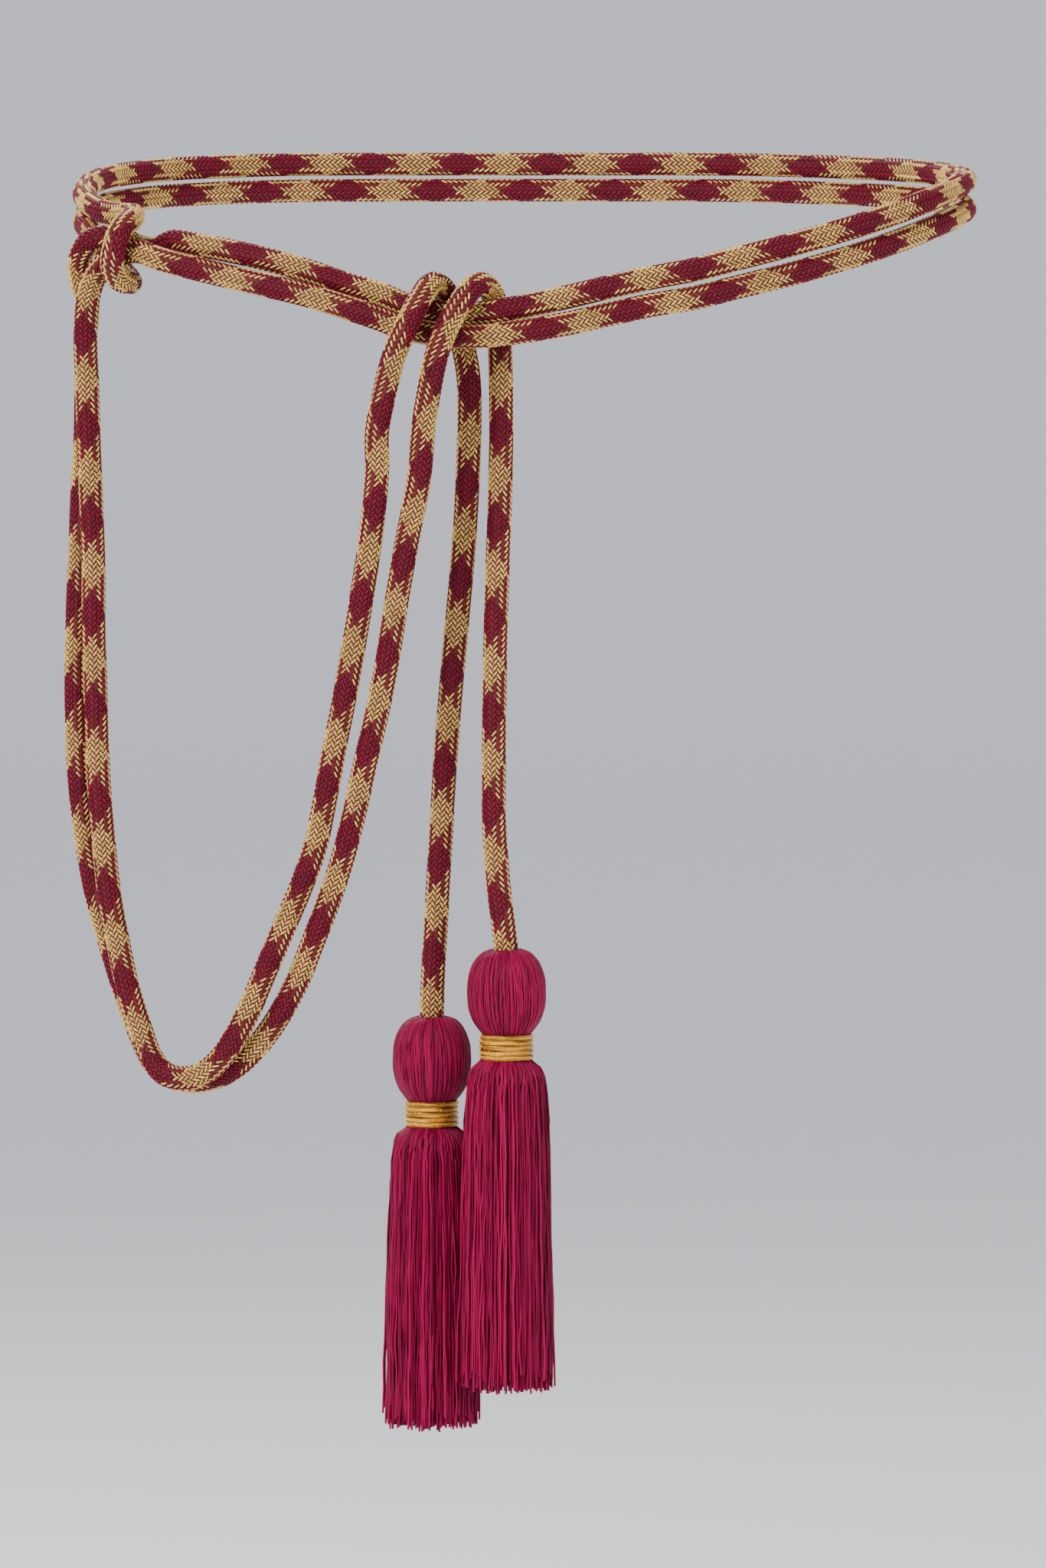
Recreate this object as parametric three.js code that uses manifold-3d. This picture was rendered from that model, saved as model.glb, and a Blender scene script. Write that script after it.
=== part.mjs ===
// Cincture: a braided cord doubled round the waist and locked through its own bight at the
// hip, with a long doubled drape, a hitch at the middle of the front and two tasselled tails.
// Units are millimetres. +Z is up, the wearer faces -Y, and the origin is the middle of the
// waist, level with the loop at the wearer's side.

import * as THREE from 'three';
import { mergeVertices } from 'three/addons/utils/BufferGeometryUtils.js';
import Module from 'manifold-3d';

const wasm = await Module();
wasm.setup();

// Cord
const CORD_DIAMETER = 9.5;
const CORD_SIDES = 8;

// Waist: half width, half depth and squareness of the line that the loop's middle follows
const WAIST_HALF_WIDTH = 164.5;
const WAIST_HALF_DEPTH = 120;
const WAIST_SQUARENESS = 2.4;

// Tassels
const HEAD_RADIUS = 14.4;
const HEAD_HEIGHT = 30;
const NECK_RADIUS = 8.4;
const SKIRT_RADIUS = 15.2;
const LEFT_SKIRT_LENGTH = 110;
const RIGHT_SKIRT_LENGTH = 120;
const SOCKET_DEPTH = 12;
const LOCKS = 12;
const LOCK_SIDES = 8;
const HEAD_SIDES = 28;

// Gold binding wound round each neck
const BINDING_TURNS = 5;
const BINDING_HEIGHT = 10;
const BINDING_THICKNESS = 1.5;
const BINDING_BULGE = 0.85;
const BINDING_SIDES = 28;

// Room left between pieces that touch
const CLEARANCE = 0.3;

// Hip knot: its place round the waist (degrees from the middle of the front) and its height
const HIP_TURN = -54;
const HIP_RISE = -18.8;

// Hitch at the middle of the front
const HITCH_PLACE = { x: -20, y: -129, z: -46.5 };

// Lower ends of the two tails, each inside the head of its tassel
const LEFT_TAIL_END = { x: -34.6, y: -117.5, z: -310 };
const RIGHT_TAIL_END = { x: -7.4, y: -134.5, z: -284 };

// The doubled loop round the waist. turn: degrees round the waist, rise: height of the pair's
// middle (mm), roll: degrees that the lower strand swings outwards, out: distance of the pair
// from the cloth and gap: distance between its strands (both in cord diameters)
const BELT = [
  { turn: -43.5, rise: -20.8, roll: 40, out: 0.80, gap: 1.06 },
  { turn: -37.5, rise: -23.4, roll: 30, out: 0.66, gap: 1.06 },
  { turn: -31, rise: -26.6, roll: 26, out: 0.60, gap: 1.06 },
  { turn: -25, rise: -30.2, roll: 36, out: 0.64, gap: 1.08 },
  { turn: -20, rise: -34.2, roll: 44, out: 0.78, gap: 1.14 },
  { turn: -15, rise: -38.4, roll: 40, out: 1.06, gap: 1.17 },
  { turn: -11, rise: -42.6, roll: 40, out: 1.54, gap: 1.13 },
  { turn: -7, rise: -44.8, roll: 38, out: 1.78, gap: 1.05 },
  { turn: -3.5, rise: -44.9, roll: 36, out: 1.80, gap: 1.05 },
  { turn: -0.5, rise: -43.2, roll: 28, out: 1.62, gap: 1.05 },
  { turn: 3, rise: -40.1, roll: 16, out: 1.06, gap: 1.05 },
  { turn: 7, rise: -36.9, roll: 4, out: 0.62, gap: 1.04 },
  { turn: 12, rise: -33.5, roll: 0, out: 0.50, gap: 1.05 },
  { turn: 18, rise: -30.4, roll: 0, out: 0.50, gap: 1.08 },
  { turn: 24, rise: -26.5, roll: 0, out: 0.50, gap: 1.10 },
  { turn: 31, rise: -22.4, roll: 0, out: 0.50, gap: 1.12 },
  { turn: 38, rise: -18.4, roll: 0, out: 0.50, gap: 1.12 },
  { turn: 46, rise: -14.1, roll: 0, out: 0.50, gap: 1.12 },
  { turn: 54, rise: -10.0, roll: 0, out: 0.50, gap: 1.12 },
  { turn: 63, rise: -5.9, roll: 0, out: 0.50, gap: 1.12 },
  { turn: 72, rise: -2.6, roll: 0, out: 0.50, gap: 1.12 },
  { turn: 81, rise: -0.6, roll: 0, out: 0.50, gap: 1.10 },
  { turn: 90, rise: 0.5, roll: 0, out: 0.50, gap: 1.08 },
  { turn: 101, rise: 1.6, roll: 0, out: 0.50, gap: 1.06 },
  { turn: 112, rise: 2.5, roll: 0, out: 0.50, gap: 1.06 },
  { turn: 123, rise: 3.3, roll: 0, out: 0.50, gap: 1.06 },
  { turn: 135, rise: 4.0, roll: 0, out: 0.50, gap: 1.06 },
  { turn: 146, rise: 4.6, roll: 0, out: 0.50, gap: 1.06 },
  { turn: 158, rise: 5.0, roll: 0, out: 0.50, gap: 1.06 },
  { turn: 169, rise: 5.0, roll: 0, out: 0.50, gap: 1.06 },
  { turn: 180, rise: 5.0, roll: 0, out: 0.50, gap: 1.06 },
  { turn: 191, rise: 5.0, roll: 0, out: 0.50, gap: 1.06 },
  { turn: 202, rise: 5.0, roll: 0, out: 0.50, gap: 1.06 },
  { turn: 213, rise: 4.7, roll: 0, out: 0.50, gap: 1.06 },
  { turn: 225, rise: 4.0, roll: 0, out: 0.50, gap: 1.06 },
  { turn: 237, rise: 2.9, roll: 0, out: 0.50, gap: 1.06 },
  { turn: 248, rise: 1.5, roll: 0, out: 0.50, gap: 1.06 },
  { turn: 257, rise: -0.1, roll: 0, out: 0.50, gap: 1.06 },
  { turn: 265, rise: -2.0, roll: 0, out: 0.50, gap: 1.06 },
];

// The hip knot, in cord diameters from its middle. along: round the waist towards the front,
// up, and out: distance from the cloth. The upper and lower strand of the loop leave through
// the bight and turn down.
const KNOT_UPPER = [
  { along: 1.3, up: 0.32, out: 0.50 },
  { along: 0.45, up: 0.06, out: 0.46 },
  { along: -0.3, up: 0.04, out: 0.60 },
  { along: -0.95, up: 0.34, out: 1.06 },
  { along: -1.6, up: 0.46, out: 1.62 },
  { along: -2.2, up: 0.10, out: 1.92 },
  { along: -2.6, up: -0.52, out: 1.95 },
  { along: -2.72, up: -1.25, out: 1.82 },
  { along: -2.7, up: -2.05, out: 1.55 },
];
const KNOT_LOWER = [
  { along: 1.3, up: -0.32, out: 1.46 },
  { along: 0.45, up: -0.06, out: 1.56 },
  { along: -0.25, up: -0.15, out: 1.70 },
  { along: -0.85, up: -0.46, out: 1.86 },
  { along: -1.35, up: -0.92, out: 1.98 },
  { along: -1.68, up: -1.52, out: 2.06 },
  { along: -1.85, up: -2.2, out: 2.10 },
];
const KNOT_BIGHT = [
  { along: -7.0, up: 1.95, out: 0.50 },
  { along: -5.2, up: 1.66, out: 0.48 },
  { along: -3.7, up: 1.42, out: 0.46 },
  { along: -2.5, up: 1.30, out: 0.42 },
  { along: -1.65, up: 1.31, out: 0.44 },
  { along: -1.0, up: 1.31, out: 0.60 },
  { along: -0.45, up: 1.25, out: 1.00 },
  { along: -0.05, up: 1.11, out: 1.52 },
  { along: 0.2, up: 0.92, out: 2.10 },
  { along: 0.32, up: 0.52, out: 2.56 },
  { along: 0.3, up: 0.0, out: 2.72 },
  { along: 0.12, up: -0.56, out: 2.60 },
  { along: -0.06, up: -1.04, out: 2.18 },
  { along: -0.24, up: -1.24, out: 1.60 },
  { along: -0.56, up: -1.28, out: 1.06 },
  { along: -1.1, up: -1.18, out: 0.68 },
  { along: -1.85, up: -0.88, out: 0.48 },
  { along: -2.8, up: -0.40, out: 0.44 },
  { along: -3.9, up: 0.10, out: 0.46 },
  { along: -5.2, up: 0.56, out: 0.48 },
  { along: -7.0, up: 0.89, out: 0.50 },
];

// The doubled drape from the hip down and up to the hitch. x, y, z: middle of the pair (mm),
// gap: distance between its strands (diameters), lean: degrees that the inner strand is
// turned to the front of the outer one
const DRAPE = [
  { x: -162.2, y: -64.5, z: -52, gap: 1.05, lean: 88 },
  { x: -161.8, y: -65.0, z: -68, gap: 1.05, lean: 86 },
  { x: -161.7, y: -65.5, z: -85, gap: 1.05, lean: 82 },
  { x: -161.9, y: -67.0, z: -110, gap: 1.05, lean: 69 },
  { x: -161.9, y: -69.5, z: -134, gap: 1.05, lean: 57 },
  { x: -162.3, y: -72.0, z: -159, gap: 1.05, lean: 50 },
  { x: -162.0, y: -75.0, z: -184, gap: 1.05, lean: 42 },
  { x: -161.2, y: -79.0, z: -208, gap: 1.05, lean: 42 },
  { x: -158.9, y: -83.5, z: -233, gap: 1.05, lean: 48 },
  { x: -155.2, y: -89.0, z: -257, gap: 1.05, lean: 60 },
  { x: -151.3, y: -93.0, z: -273, gap: 1.05, lean: 70 },
  { x: -147.0, y: -97.0, z: -289, gap: 1.05, lean: 78 },
  { x: -141.5, y: -101.0, z: -305, gap: 1.05, lean: 82 },
  { x: -136.6, y: -105.0, z: -315.5, gap: 1.05, lean: 84 },
  { x: -129.5, y: -109.0, z: -321, gap: 1.05, lean: 84 },
  { x: -119.0, y: -113.0, z: -321, gap: 1.06, lean: 72 },
  { x: -108.5, y: -117.0, z: -314.5, gap: 1.08, lean: 50 },
  { x: -98.3, y: -121.0, z: -300.5, gap: 1.14, lean: 22 },
  { x: -89.6, y: -125.0, z: -283, gap: 1.28, lean: 6 },
  { x: -83.1, y: -128.5, z: -267, gap: 1.25, lean: 0 },
  { x: -77.1, y: -131.5, z: -252, gap: 1.18, lean: 0 },
  { x: -71.6, y: -134.0, z: -235.5, gap: 1.14, lean: 0 },
  { x: -67.8, y: -136.0, z: -219, gap: 1.20, lean: 0 },
  { x: -64.2, y: -138.0, z: -201, gap: 1.27, lean: 0 },
  { x: -60.5, y: -139.5, z: -184, gap: 1.33, lean: 0 },
  { x: -56.9, y: -141.0, z: -165, gap: 1.36, lean: 0 },
  { x: -53.2, y: -142.2, z: -142, gap: 1.34, lean: 0 },
  { x: -49.8, y: -143.2, z: -121, gap: 1.40, lean: 0 },
  { x: -46.6, y: -143.8, z: -98.5, gap: 1.62, lean: 0 },
];

// The hitch: each rising strand passes up in front of the loop, over it and down behind it,
// in cord diameters from the hitch's place
const HITCH_INNER = [
  { right: -3.6, forward: 1.60, up: -3.84 },
  { right: -3.3, forward: 1.60, up: -2.32 },
  { right: -2.94, forward: 1.66, up: -0.95 },
  { right: -2.48, forward: 1.58, up: 0.12 },
  { right: -2.02, forward: 1.14, up: 1.04 },
  { right: -1.52, forward: 0.20, up: 1.70 },
  { right: -1.04, forward: -0.72, up: 1.42 },
  { right: -0.66, forward: -1.14, up: 0.54 },
  { right: -0.34, forward: -1.14, up: -0.64 },
  { right: -0.12, forward: -1.18, up: -1.9 },
];
const HITCH_OUTER = [
  { right: -1.85, forward: 1.60, up: -3.84 },
  { right: -1.64, forward: 1.62, up: -2.42 },
  { right: -1.36, forward: 1.70, up: -1.05 },
  { right: -0.94, forward: 1.60, up: 0.08 },
  { right: -0.4, forward: 1.16, up: 1.04 },
  { right: 0.2, forward: 0.24, up: 1.70 },
  { right: 0.72, forward: -0.72, up: 1.44 },
  { right: 0.98, forward: -1.10, up: 0.46 },
  { right: 1.08, forward: -1.12, up: -0.70 },
  { right: 1.12, forward: -1.08, up: -1.9 },
];

// The two straight tails below the hitch (mm), down to where each enters its tassel
const LEFT_TAIL = [
  { x: -20.8, y: -117.6, z: -80 },
  { x: -21.4, y: -117.4, z: -100 },
  { x: -22.8, y: -117.3, z: -125 },
  { x: -25.0, y: -117.2, z: -150 },
  { x: -27.4, y: -117.2, z: -176 },
  { x: -29.6, y: -117.3, z: -204 },
  { x: -31.4, y: -117.4, z: -234 },
  { x: -33.0, y: -117.5, z: -262 },
  { x: -34.2, y: -117.5, z: -284 },
  { x: -34.6, y: -117.5, z: -298 },
];
const RIGHT_TAIL = [
  { x: -9.2, y: -119.8, z: -82 },
  { x: -9.6, y: -121.2, z: -104 },
  { x: -10.5, y: -123.2, z: -130 },
  { x: -11.4, y: -125.6, z: -160 },
  { x: -11.9, y: -128.4, z: -194 },
  { x: -11.9, y: -131.0, z: -224 },
  { x: -10.4, y: -133.2, z: -248 },
  { x: -8.4, y: -134.4, z: -264 },
  { x: -7.5, y: -134.5, z: -274 },
];

// Core inside a skirt: share of the skirt's radius that it takes up, and its sections as shares
// of the skirt's length down from the binding and of the core's radius
const CORE_WIDTH = 0.72;
const CORE_SECTIONS = [
  { down: 0.08, wide: 0.92 },
  { down: 0.20, wide: 0.98 },
  { down: 0.76, wide: 1.00 },
  { down: 0.86, wide: 0.80 },
];

// Head of a tassel: shares of the head's height down from its top, and of its radius
const HEAD_PROFILE = [
  { down: 0.00, wide: 0.42 },
  { down: 0.04, wide: 0.64 },
  { down: 0.13, wide: 0.85 },
  { down: 0.28, wide: 0.97 },
  { down: 0.46, wide: 1.00 },
  { down: 0.66, wide: 0.985 },
  { down: 0.84, wide: 0.90 },
  { down: 0.96, wide: 0.74 },
];

// One lock of a skirt: shares of the skirt's length down from the binding, of the skirt's
// radius (middle of the lock) and of the lock's own width and thickness
const LOCK_SECTIONS = [
  { down: 0.00, out: 0.32, wide: 0.56, thick: 0.8 },
  { down: 0.05, out: 0.60, wide: 0.84, thick: 1.0 },
  { down: 0.18, out: 0.70, wide: 0.98, thick: 1.0 },
  { down: 0.45, out: 0.74, wide: 1.06, thick: 1.0 },
  { down: 0.75, out: 0.75, wide: 1.08, thick: 1.0 },
  { down: 0.95, out: 0.75, wide: 1.00, thick: 0.9 },
  { down: 1.00, out: 0.73, wide: 0.55, thick: 0.5 },
];

// A lock's half width as a share of its part of the skirt's circumference, and its half
// thickness as a share of the skirt's radius
const LOCK_WIDTH = 0.75;
const LOCK_THICKNESS = 0.25;

// Length of each lock as a share of the skirt's, repeated round the skirt
const LOCK_LENGTHS = [1.0, 0.97, 0.99, 0.955, 1.0, 0.975];

const CORD_MATERIAL = { color: 0xa8683f, roughness: 0.75, metalness: 0.05 };
const YARN_MATERIAL = { color: 0x9a0f3c, roughness: 0.55, metalness: 0 };
const GOLD_MATERIAL = { color: 0xc99b3a, roughness: 0.35, metalness: 0.8 };

const radians = THREE.MathUtils.degToRad;
const UP = new THREE.Vector3(0, 0, 1);
const FRONT = new THREE.Vector3(0, -1, 0);

// Raises a value to a power and keeps its sign
function signedPower(value, power) {
  return Math.sign(value) * Math.abs(value) ** power;
}

// Point of the waist line at a turn, and the way out of the cloth there
function waist(turn) {
  const angle = radians(turn);
  const share = 2 / WAIST_SQUARENESS;
  const point = new THREE.Vector3(
    WAIST_HALF_WIDTH * signedPower(Math.sin(angle), share),
    -WAIST_HALF_DEPTH * signedPower(Math.cos(angle), share),
    0,
  );
  const outward = new THREE.Vector3(
    signedPower(point.x / WAIST_HALF_WIDTH, WAIST_SQUARENESS - 1) / WAIST_HALF_WIDTH,
    signedPower(point.y / WAIST_HALF_DEPTH, WAIST_SQUARENESS - 1) / WAIST_HALF_DEPTH,
    0,
  ).normalize();
  return { point, outward };
}

// A point off the waist line: rise in mm, out in diameters from the cloth
function offWaist(turn, rise, out) {
  const { point, outward } = waist(turn);
  return point.addScaledVector(UP, rise).addScaledVector(outward, (out - 0.5) * CORD_DIAMETER);
}

// One strand of the loop's pair: side 1 is the upper strand, -1 the lower one
function loopPoint(row, side) {
  const { outward } = waist(row.turn);
  const roll = radians(row.roll);
  const half = side * row.gap * CORD_DIAMETER / 2;
  return offWaist(row.turn, row.rise, row.out)
    .addScaledVector(UP, half * Math.cos(roll))
    .addScaledVector(outward, -half * Math.sin(roll));
}

// A point of the hip knot
function knotPoint(row) {
  const millimetresPerDegree = waist(HIP_TURN + 0.5).point.distanceTo(waist(HIP_TURN - 0.5).point);
  const turn = HIP_TURN + row.along * CORD_DIAMETER / millimetresPerDegree;
  return offWaist(turn, HIP_RISE + row.up * CORD_DIAMETER, row.out);
}

// A point of the hitch
function hitchPoint(row) {
  return new THREE.Vector3(
    HITCH_PLACE.x + row.right * CORD_DIAMETER,
    HITCH_PLACE.y - row.forward * CORD_DIAMETER,
    HITCH_PLACE.z + row.up * CORD_DIAMETER,
  );
}

const plainPoint = (row) => new THREE.Vector3(row.x, row.y, row.z);

// One strand of the drape: side 1 is the inner strand, -1 the outer one
function drapePoints(side) {
  const middles = DRAPE.map(plainPoint);
  return DRAPE.map((row, i) => {
    const before = middles[Math.max(i - 1, 0)];
    const after = middles[Math.min(i + 1, middles.length - 1)];
    const along = after.clone().sub(before).normalize();
    const front = FRONT.clone().addScaledVector(along, -FRONT.dot(along)).normalize();
    const inward = front.clone().cross(along);
    const lean = radians(row.lean);
    const half = side * row.gap * CORD_DIAMETER / 2;
    return middles[i].clone()
      .addScaledVector(inward, half * Math.cos(lean))
      .addScaledVector(front, half * Math.sin(lean));
  });
}

// The whole route, from the end in the left tassel to the end in the right one
function cordPoints() {
  const strand = (side) => BELT.map((row) => loopPoint(row, side));
  return [
    plainPoint(LEFT_TAIL_END),
    ...LEFT_TAIL.map(plainPoint).reverse(),
    ...HITCH_INNER.map(hitchPoint).reverse(),
    ...drapePoints(1).reverse(),
    ...KNOT_LOWER.map(knotPoint).reverse(),
    ...strand(-1),
    ...KNOT_BIGHT.map(knotPoint).reverse(),
    ...strand(1).reverse(),
    ...KNOT_UPPER.map(knotPoint),
    ...drapePoints(-1),
    ...HITCH_OUTER.map(hitchPoint),
    ...RIGHT_TAIL.map(plainPoint),
    plainPoint(RIGHT_TAIL_END),
  ];
}

// A smooth curve that is stepped from point to point, so that steps are short in the knots
// and long in the straight runs
class CordCurve extends THREE.CatmullRomCurve3 {
  getPointAt(share, target) {
    return this.getPoint(share, target);
  }

  getTangentAt(share, target) {
    return this.getTangent(share, target);
  }
}

// Closed outline of a round or oval section
function ovalShape(halfWidth, halfThickness, sides) {
  const points = Array.from({ length: sides }, (_, i) => {
    const angle = (i + 0.5) / sides * 2 * Math.PI;
    return new THREE.Vector2(halfWidth * Math.cos(angle), halfThickness * Math.sin(angle));
  });
  return new THREE.Shape(points);
}

function cordGeometry() {
  const points = cordPoints();
  const radius = CORD_DIAMETER / 2;
  return new THREE.ExtrudeGeometry(ovalShape(radius, radius, CORD_SIDES), {
    steps: points.length - 1,
    extrudePath: new CordCurve(points),
  });
}

// Closed solid for joining and cutting
function toSolid(geometry) {
  const bare = geometry.clone();
  bare.deleteAttribute('normal');
  bare.deleteAttribute('uv');
  const merged = mergeVertices(bare, 1e-4);
  return new wasm.Manifold(new wasm.Mesh({
    numProp: 3,
    vertProperties: new Float32Array(merged.attributes.position.array),
    triVerts: new Uint32Array(merged.index.array),
  }));
}

function toGeometry(solid) {
  const mesh = solid.getMesh();
  const geometry = new THREE.BufferGeometry();
  geometry.setAttribute('position', new THREE.BufferAttribute(mesh.vertProperties.slice(), 3));
  geometry.setIndex(new THREE.BufferAttribute(mesh.triVerts.slice(), 1));
  return geometry;
}

// A lathe turned round +Z from rows of radius and height
function turned(rows, sides) {
  const profile = rows.map(([radius, height]) => new THREE.Vector2(radius, height));
  return new THREE.LatheGeometry(profile, sides).rotateX(Math.PI / 2);
}

// A tassel's heights, from the top of its head at 0
const BINDING_TOP = -HEAD_HEIGHT - CLEARANCE;
const BINDING_FOOT = BINDING_TOP - BINDING_HEIGHT;
const SKIRT_TOP = BINDING_FOOT - CLEARANCE;

// Head, neck and the core that the skirt's locks hang on
function tasselCore(skirtLength) {
  const radius = SKIRT_RADIUS * CORE_WIDTH;
  const core = CORE_SECTIONS.map(({ down, wide }) => [radius * wide, SKIRT_TOP - skirtLength * down]);
  const head = HEAD_PROFILE.map(({ down, wide }) => [HEAD_RADIUS * wide, -HEAD_HEIGHT * down]);
  const foot = core[core.length - 1][1];
  return turned([
    [0, foot],
    ...core.reverse(),
    [NECK_RADIUS, SKIRT_TOP],
    [NECK_RADIUS, -HEAD_HEIGHT],
    ...head.reverse(),
    [0, 0],
  ], HEAD_SIDES);
}

// One lock of the skirt, a flat tapering strip of yarn
function lock(index, skirtLength) {
  const angle = index / LOCKS * 2 * Math.PI;
  const length = skirtLength * LOCK_LENGTHS[index % LOCK_LENGTHS.length];
  const halfWidth = Math.PI * SKIRT_RADIUS * LOCK_WIDTH / LOCKS;
  const halfThickness = SKIRT_RADIUS * LOCK_THICKNESS;
  const positions = [];
  LOCK_SECTIONS.forEach(({ down, out, wide, thick }) => {
    for (let i = 0; i < LOCK_SIDES; i += 1) {
      const round = (i + 0.5) / LOCK_SIDES * 2 * Math.PI;
      positions.push(
        SKIRT_RADIUS * out + halfThickness * thick * Math.cos(round),
        halfWidth * wide * Math.sin(round),
        SKIRT_TOP - length * down,
      );
    }
  });
  const faces = [];
  const last = (LOCK_SECTIONS.length - 1) * LOCK_SIDES;
  for (let ring = 0; ring < last; ring += LOCK_SIDES) {
    for (let i = 0; i < LOCK_SIDES; i += 1) {
      const next = (i + 1) % LOCK_SIDES;
      faces.push(ring + i, ring + LOCK_SIDES + i, ring + next);
      faces.push(ring + next, ring + LOCK_SIDES + i, ring + LOCK_SIDES + next);
    }
  }
  for (let i = 1; i < LOCK_SIDES - 1; i += 1) {
    faces.push(0, i, i + 1);
    faces.push(last, last + i + 1, last + i);
  }
  const geometry = new THREE.BufferGeometry();
  geometry.setAttribute('position', new THREE.Float32BufferAttribute(positions, 3));
  geometry.setIndex(faces);
  return geometry.rotateZ(angle);
}

// Bore in the top of the head that the cord's end sits in
function socket() {
  const radius = CORD_DIAMETER / 2 + CLEARANCE;
  const height = SOCKET_DEPTH + CLEARANCE + HEAD_HEIGHT;
  return new THREE.CylinderGeometry(radius, radius, height, HEAD_SIDES)
    .rotateX(Math.PI / 2)
    .translate(0, 0, height / 2 - SOCKET_DEPTH - CLEARANCE);
}

function tasselGeometry(skirtLength) {
  let solid = toSolid(tasselCore(skirtLength));
  for (let i = 0; i < LOCKS; i += 1) {
    solid = solid.add(toSolid(lock(i, skirtLength)));
  }
  return toGeometry(solid.subtract(toSolid(socket())));
}

// Closed ring of wound thread, with one round for each turn
function bindingGeometry() {
  const inner = NECK_RADIUS + CLEARANCE;
  const pitch = BINDING_HEIGHT / BINDING_TURNS;
  const rounding = pitch / 2;
  const wall = BINDING_THICKNESS - rounding;
  const rows = [[inner, BINDING_FOOT]];
  for (let i = 0; i < BINDING_TURNS; i += 1) {
    const foot = BINDING_FOOT + i * pitch;
    rows.push([inner + wall, foot]);
    rows.push([inner + wall + rounding * BINDING_BULGE, foot + pitch * 0.25]);
    rows.push([inner + wall + rounding * BINDING_BULGE, foot + pitch * 0.75]);
  }
  rows.push([inner + wall, BINDING_TOP]);
  rows.push([inner, BINDING_TOP]);
  rows.push([inner, BINDING_FOOT]);
  return turned(rows, BINDING_SIDES);
}

function piece(name, geometry, look) {
  const mesh = new THREE.Mesh(geometry, new THREE.MeshStandardMaterial(look));
  mesh.name = name;
  return mesh;
}

// Tassel and binding, hung on the end of a tail
function tassel(side, end, skirtLength) {
  const group = new THREE.Group();
  group.add(piece(`tassel_${side}`, tasselGeometry(skirtLength), YARN_MATERIAL));
  group.add(piece(`binding_${side}`, bindingGeometry(), GOLD_MATERIAL));
  group.position.set(end.x, end.y, end.z + SOCKET_DEPTH);
  return group;
}

const cincture = new THREE.Group();
cincture.add(piece('cord', cordGeometry(), CORD_MATERIAL));
cincture.add(tassel('left', LEFT_TAIL_END, LEFT_SKIRT_LENGTH));
cincture.add(tassel('right', RIGHT_TAIL_END, RIGHT_SKIRT_LENGTH));

export default cincture;
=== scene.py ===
"""A braided waist cord with two tassels, tied as it is worn, modelled round its CAD frame.

Lengths are metres. +Z is up, the front is towards -Y, and the origin is the middle of the waist.
"""

import math

import bmesh
import bpy
from bpy.props import (
    FloatProperty,
    FloatVectorProperty,
    IntProperty,
    PointerProperty,
)
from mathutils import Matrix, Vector


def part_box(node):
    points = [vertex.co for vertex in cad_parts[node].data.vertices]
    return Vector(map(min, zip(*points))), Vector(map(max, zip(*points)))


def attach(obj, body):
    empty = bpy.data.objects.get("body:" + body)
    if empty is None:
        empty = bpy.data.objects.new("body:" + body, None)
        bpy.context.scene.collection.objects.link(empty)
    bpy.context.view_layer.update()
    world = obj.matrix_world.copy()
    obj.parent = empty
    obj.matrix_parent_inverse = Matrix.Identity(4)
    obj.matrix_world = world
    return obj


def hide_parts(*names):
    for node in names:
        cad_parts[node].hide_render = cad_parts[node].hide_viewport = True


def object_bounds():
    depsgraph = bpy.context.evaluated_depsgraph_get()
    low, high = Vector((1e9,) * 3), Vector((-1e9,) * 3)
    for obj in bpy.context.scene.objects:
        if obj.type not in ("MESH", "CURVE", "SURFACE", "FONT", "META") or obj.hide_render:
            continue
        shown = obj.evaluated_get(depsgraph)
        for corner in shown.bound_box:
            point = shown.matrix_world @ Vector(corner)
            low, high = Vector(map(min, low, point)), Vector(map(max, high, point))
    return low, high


bl_info = {
    "name": "Tied cincture cord",
    "version": (1, 0, 0),
    "blender": (4, 5, 0),
    "location": "View3D > Sidebar > Cincture",
    "description": "Builds a braided waist cord with its knot, drape, hitch and tassels",
    "category": "Object",
}

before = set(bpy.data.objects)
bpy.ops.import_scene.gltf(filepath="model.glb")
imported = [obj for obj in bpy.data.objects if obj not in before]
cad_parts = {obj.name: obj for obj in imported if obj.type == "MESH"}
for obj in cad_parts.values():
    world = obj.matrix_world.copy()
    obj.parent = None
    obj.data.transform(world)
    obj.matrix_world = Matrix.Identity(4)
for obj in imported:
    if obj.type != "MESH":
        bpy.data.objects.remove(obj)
CAD_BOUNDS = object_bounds()

BODY = "root"
SIDES = ("left", "right")

# Cord and the waist line that the loop's middle follows
CORD_DIAMETER = 0.0095
WAIST_HALF_WIDTH = 0.1645
WAIST_HALF_DEPTH = 0.120
WAIST_SQUARENESS = 2.4

# Braid: half width of a stitch as a share of a yarn's pitch, its half length in crossings,
# how far its ends dip and how deep the yarns below show (yarn thicknesses), and how much
# darker these are painted, as painted shade between the stitches
GOLD_STITCH_WIDTH = 0.60
BURGUNDY_STITCH_WIDTH = 0.76
STITCH_REACH = 1.34
STITCH_DIP = 0.72
CORE_SINK = 0.82
CORE_PAINTED_SHADE = 0.42

# Skirts: the first part of each thread, in which it turns down over the shoulder (m), the share
# of the thread's stations in that part, the share of the swelling that it has, and the length
# hidden in the binding (m)
SHOULDER_DROP = 0.010
SHOULDER_STATIONS = 0.4
SHOULDER_SHARE = 0.72
HIDDEN_THREAD = 0.003

# Skirts: shoulder lengths over which the rest of the swelling is spread, and the share of the
# radius inside which only the inner threads hang
SLOW_SWELL = 12
FILLED_SHARE = 0.86

# Skirts: how much wider they are at the foot than at the top, and how far the strayest thread
# stands out there, as shares of the skirt's radius, with the powers that make the widening
# early and strays rare
SKIRT_FLARE = 0.15
FLARE_POWER = 0.6
STRAY_SHARE = 0.20
STRAY_RARITY = 26

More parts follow.
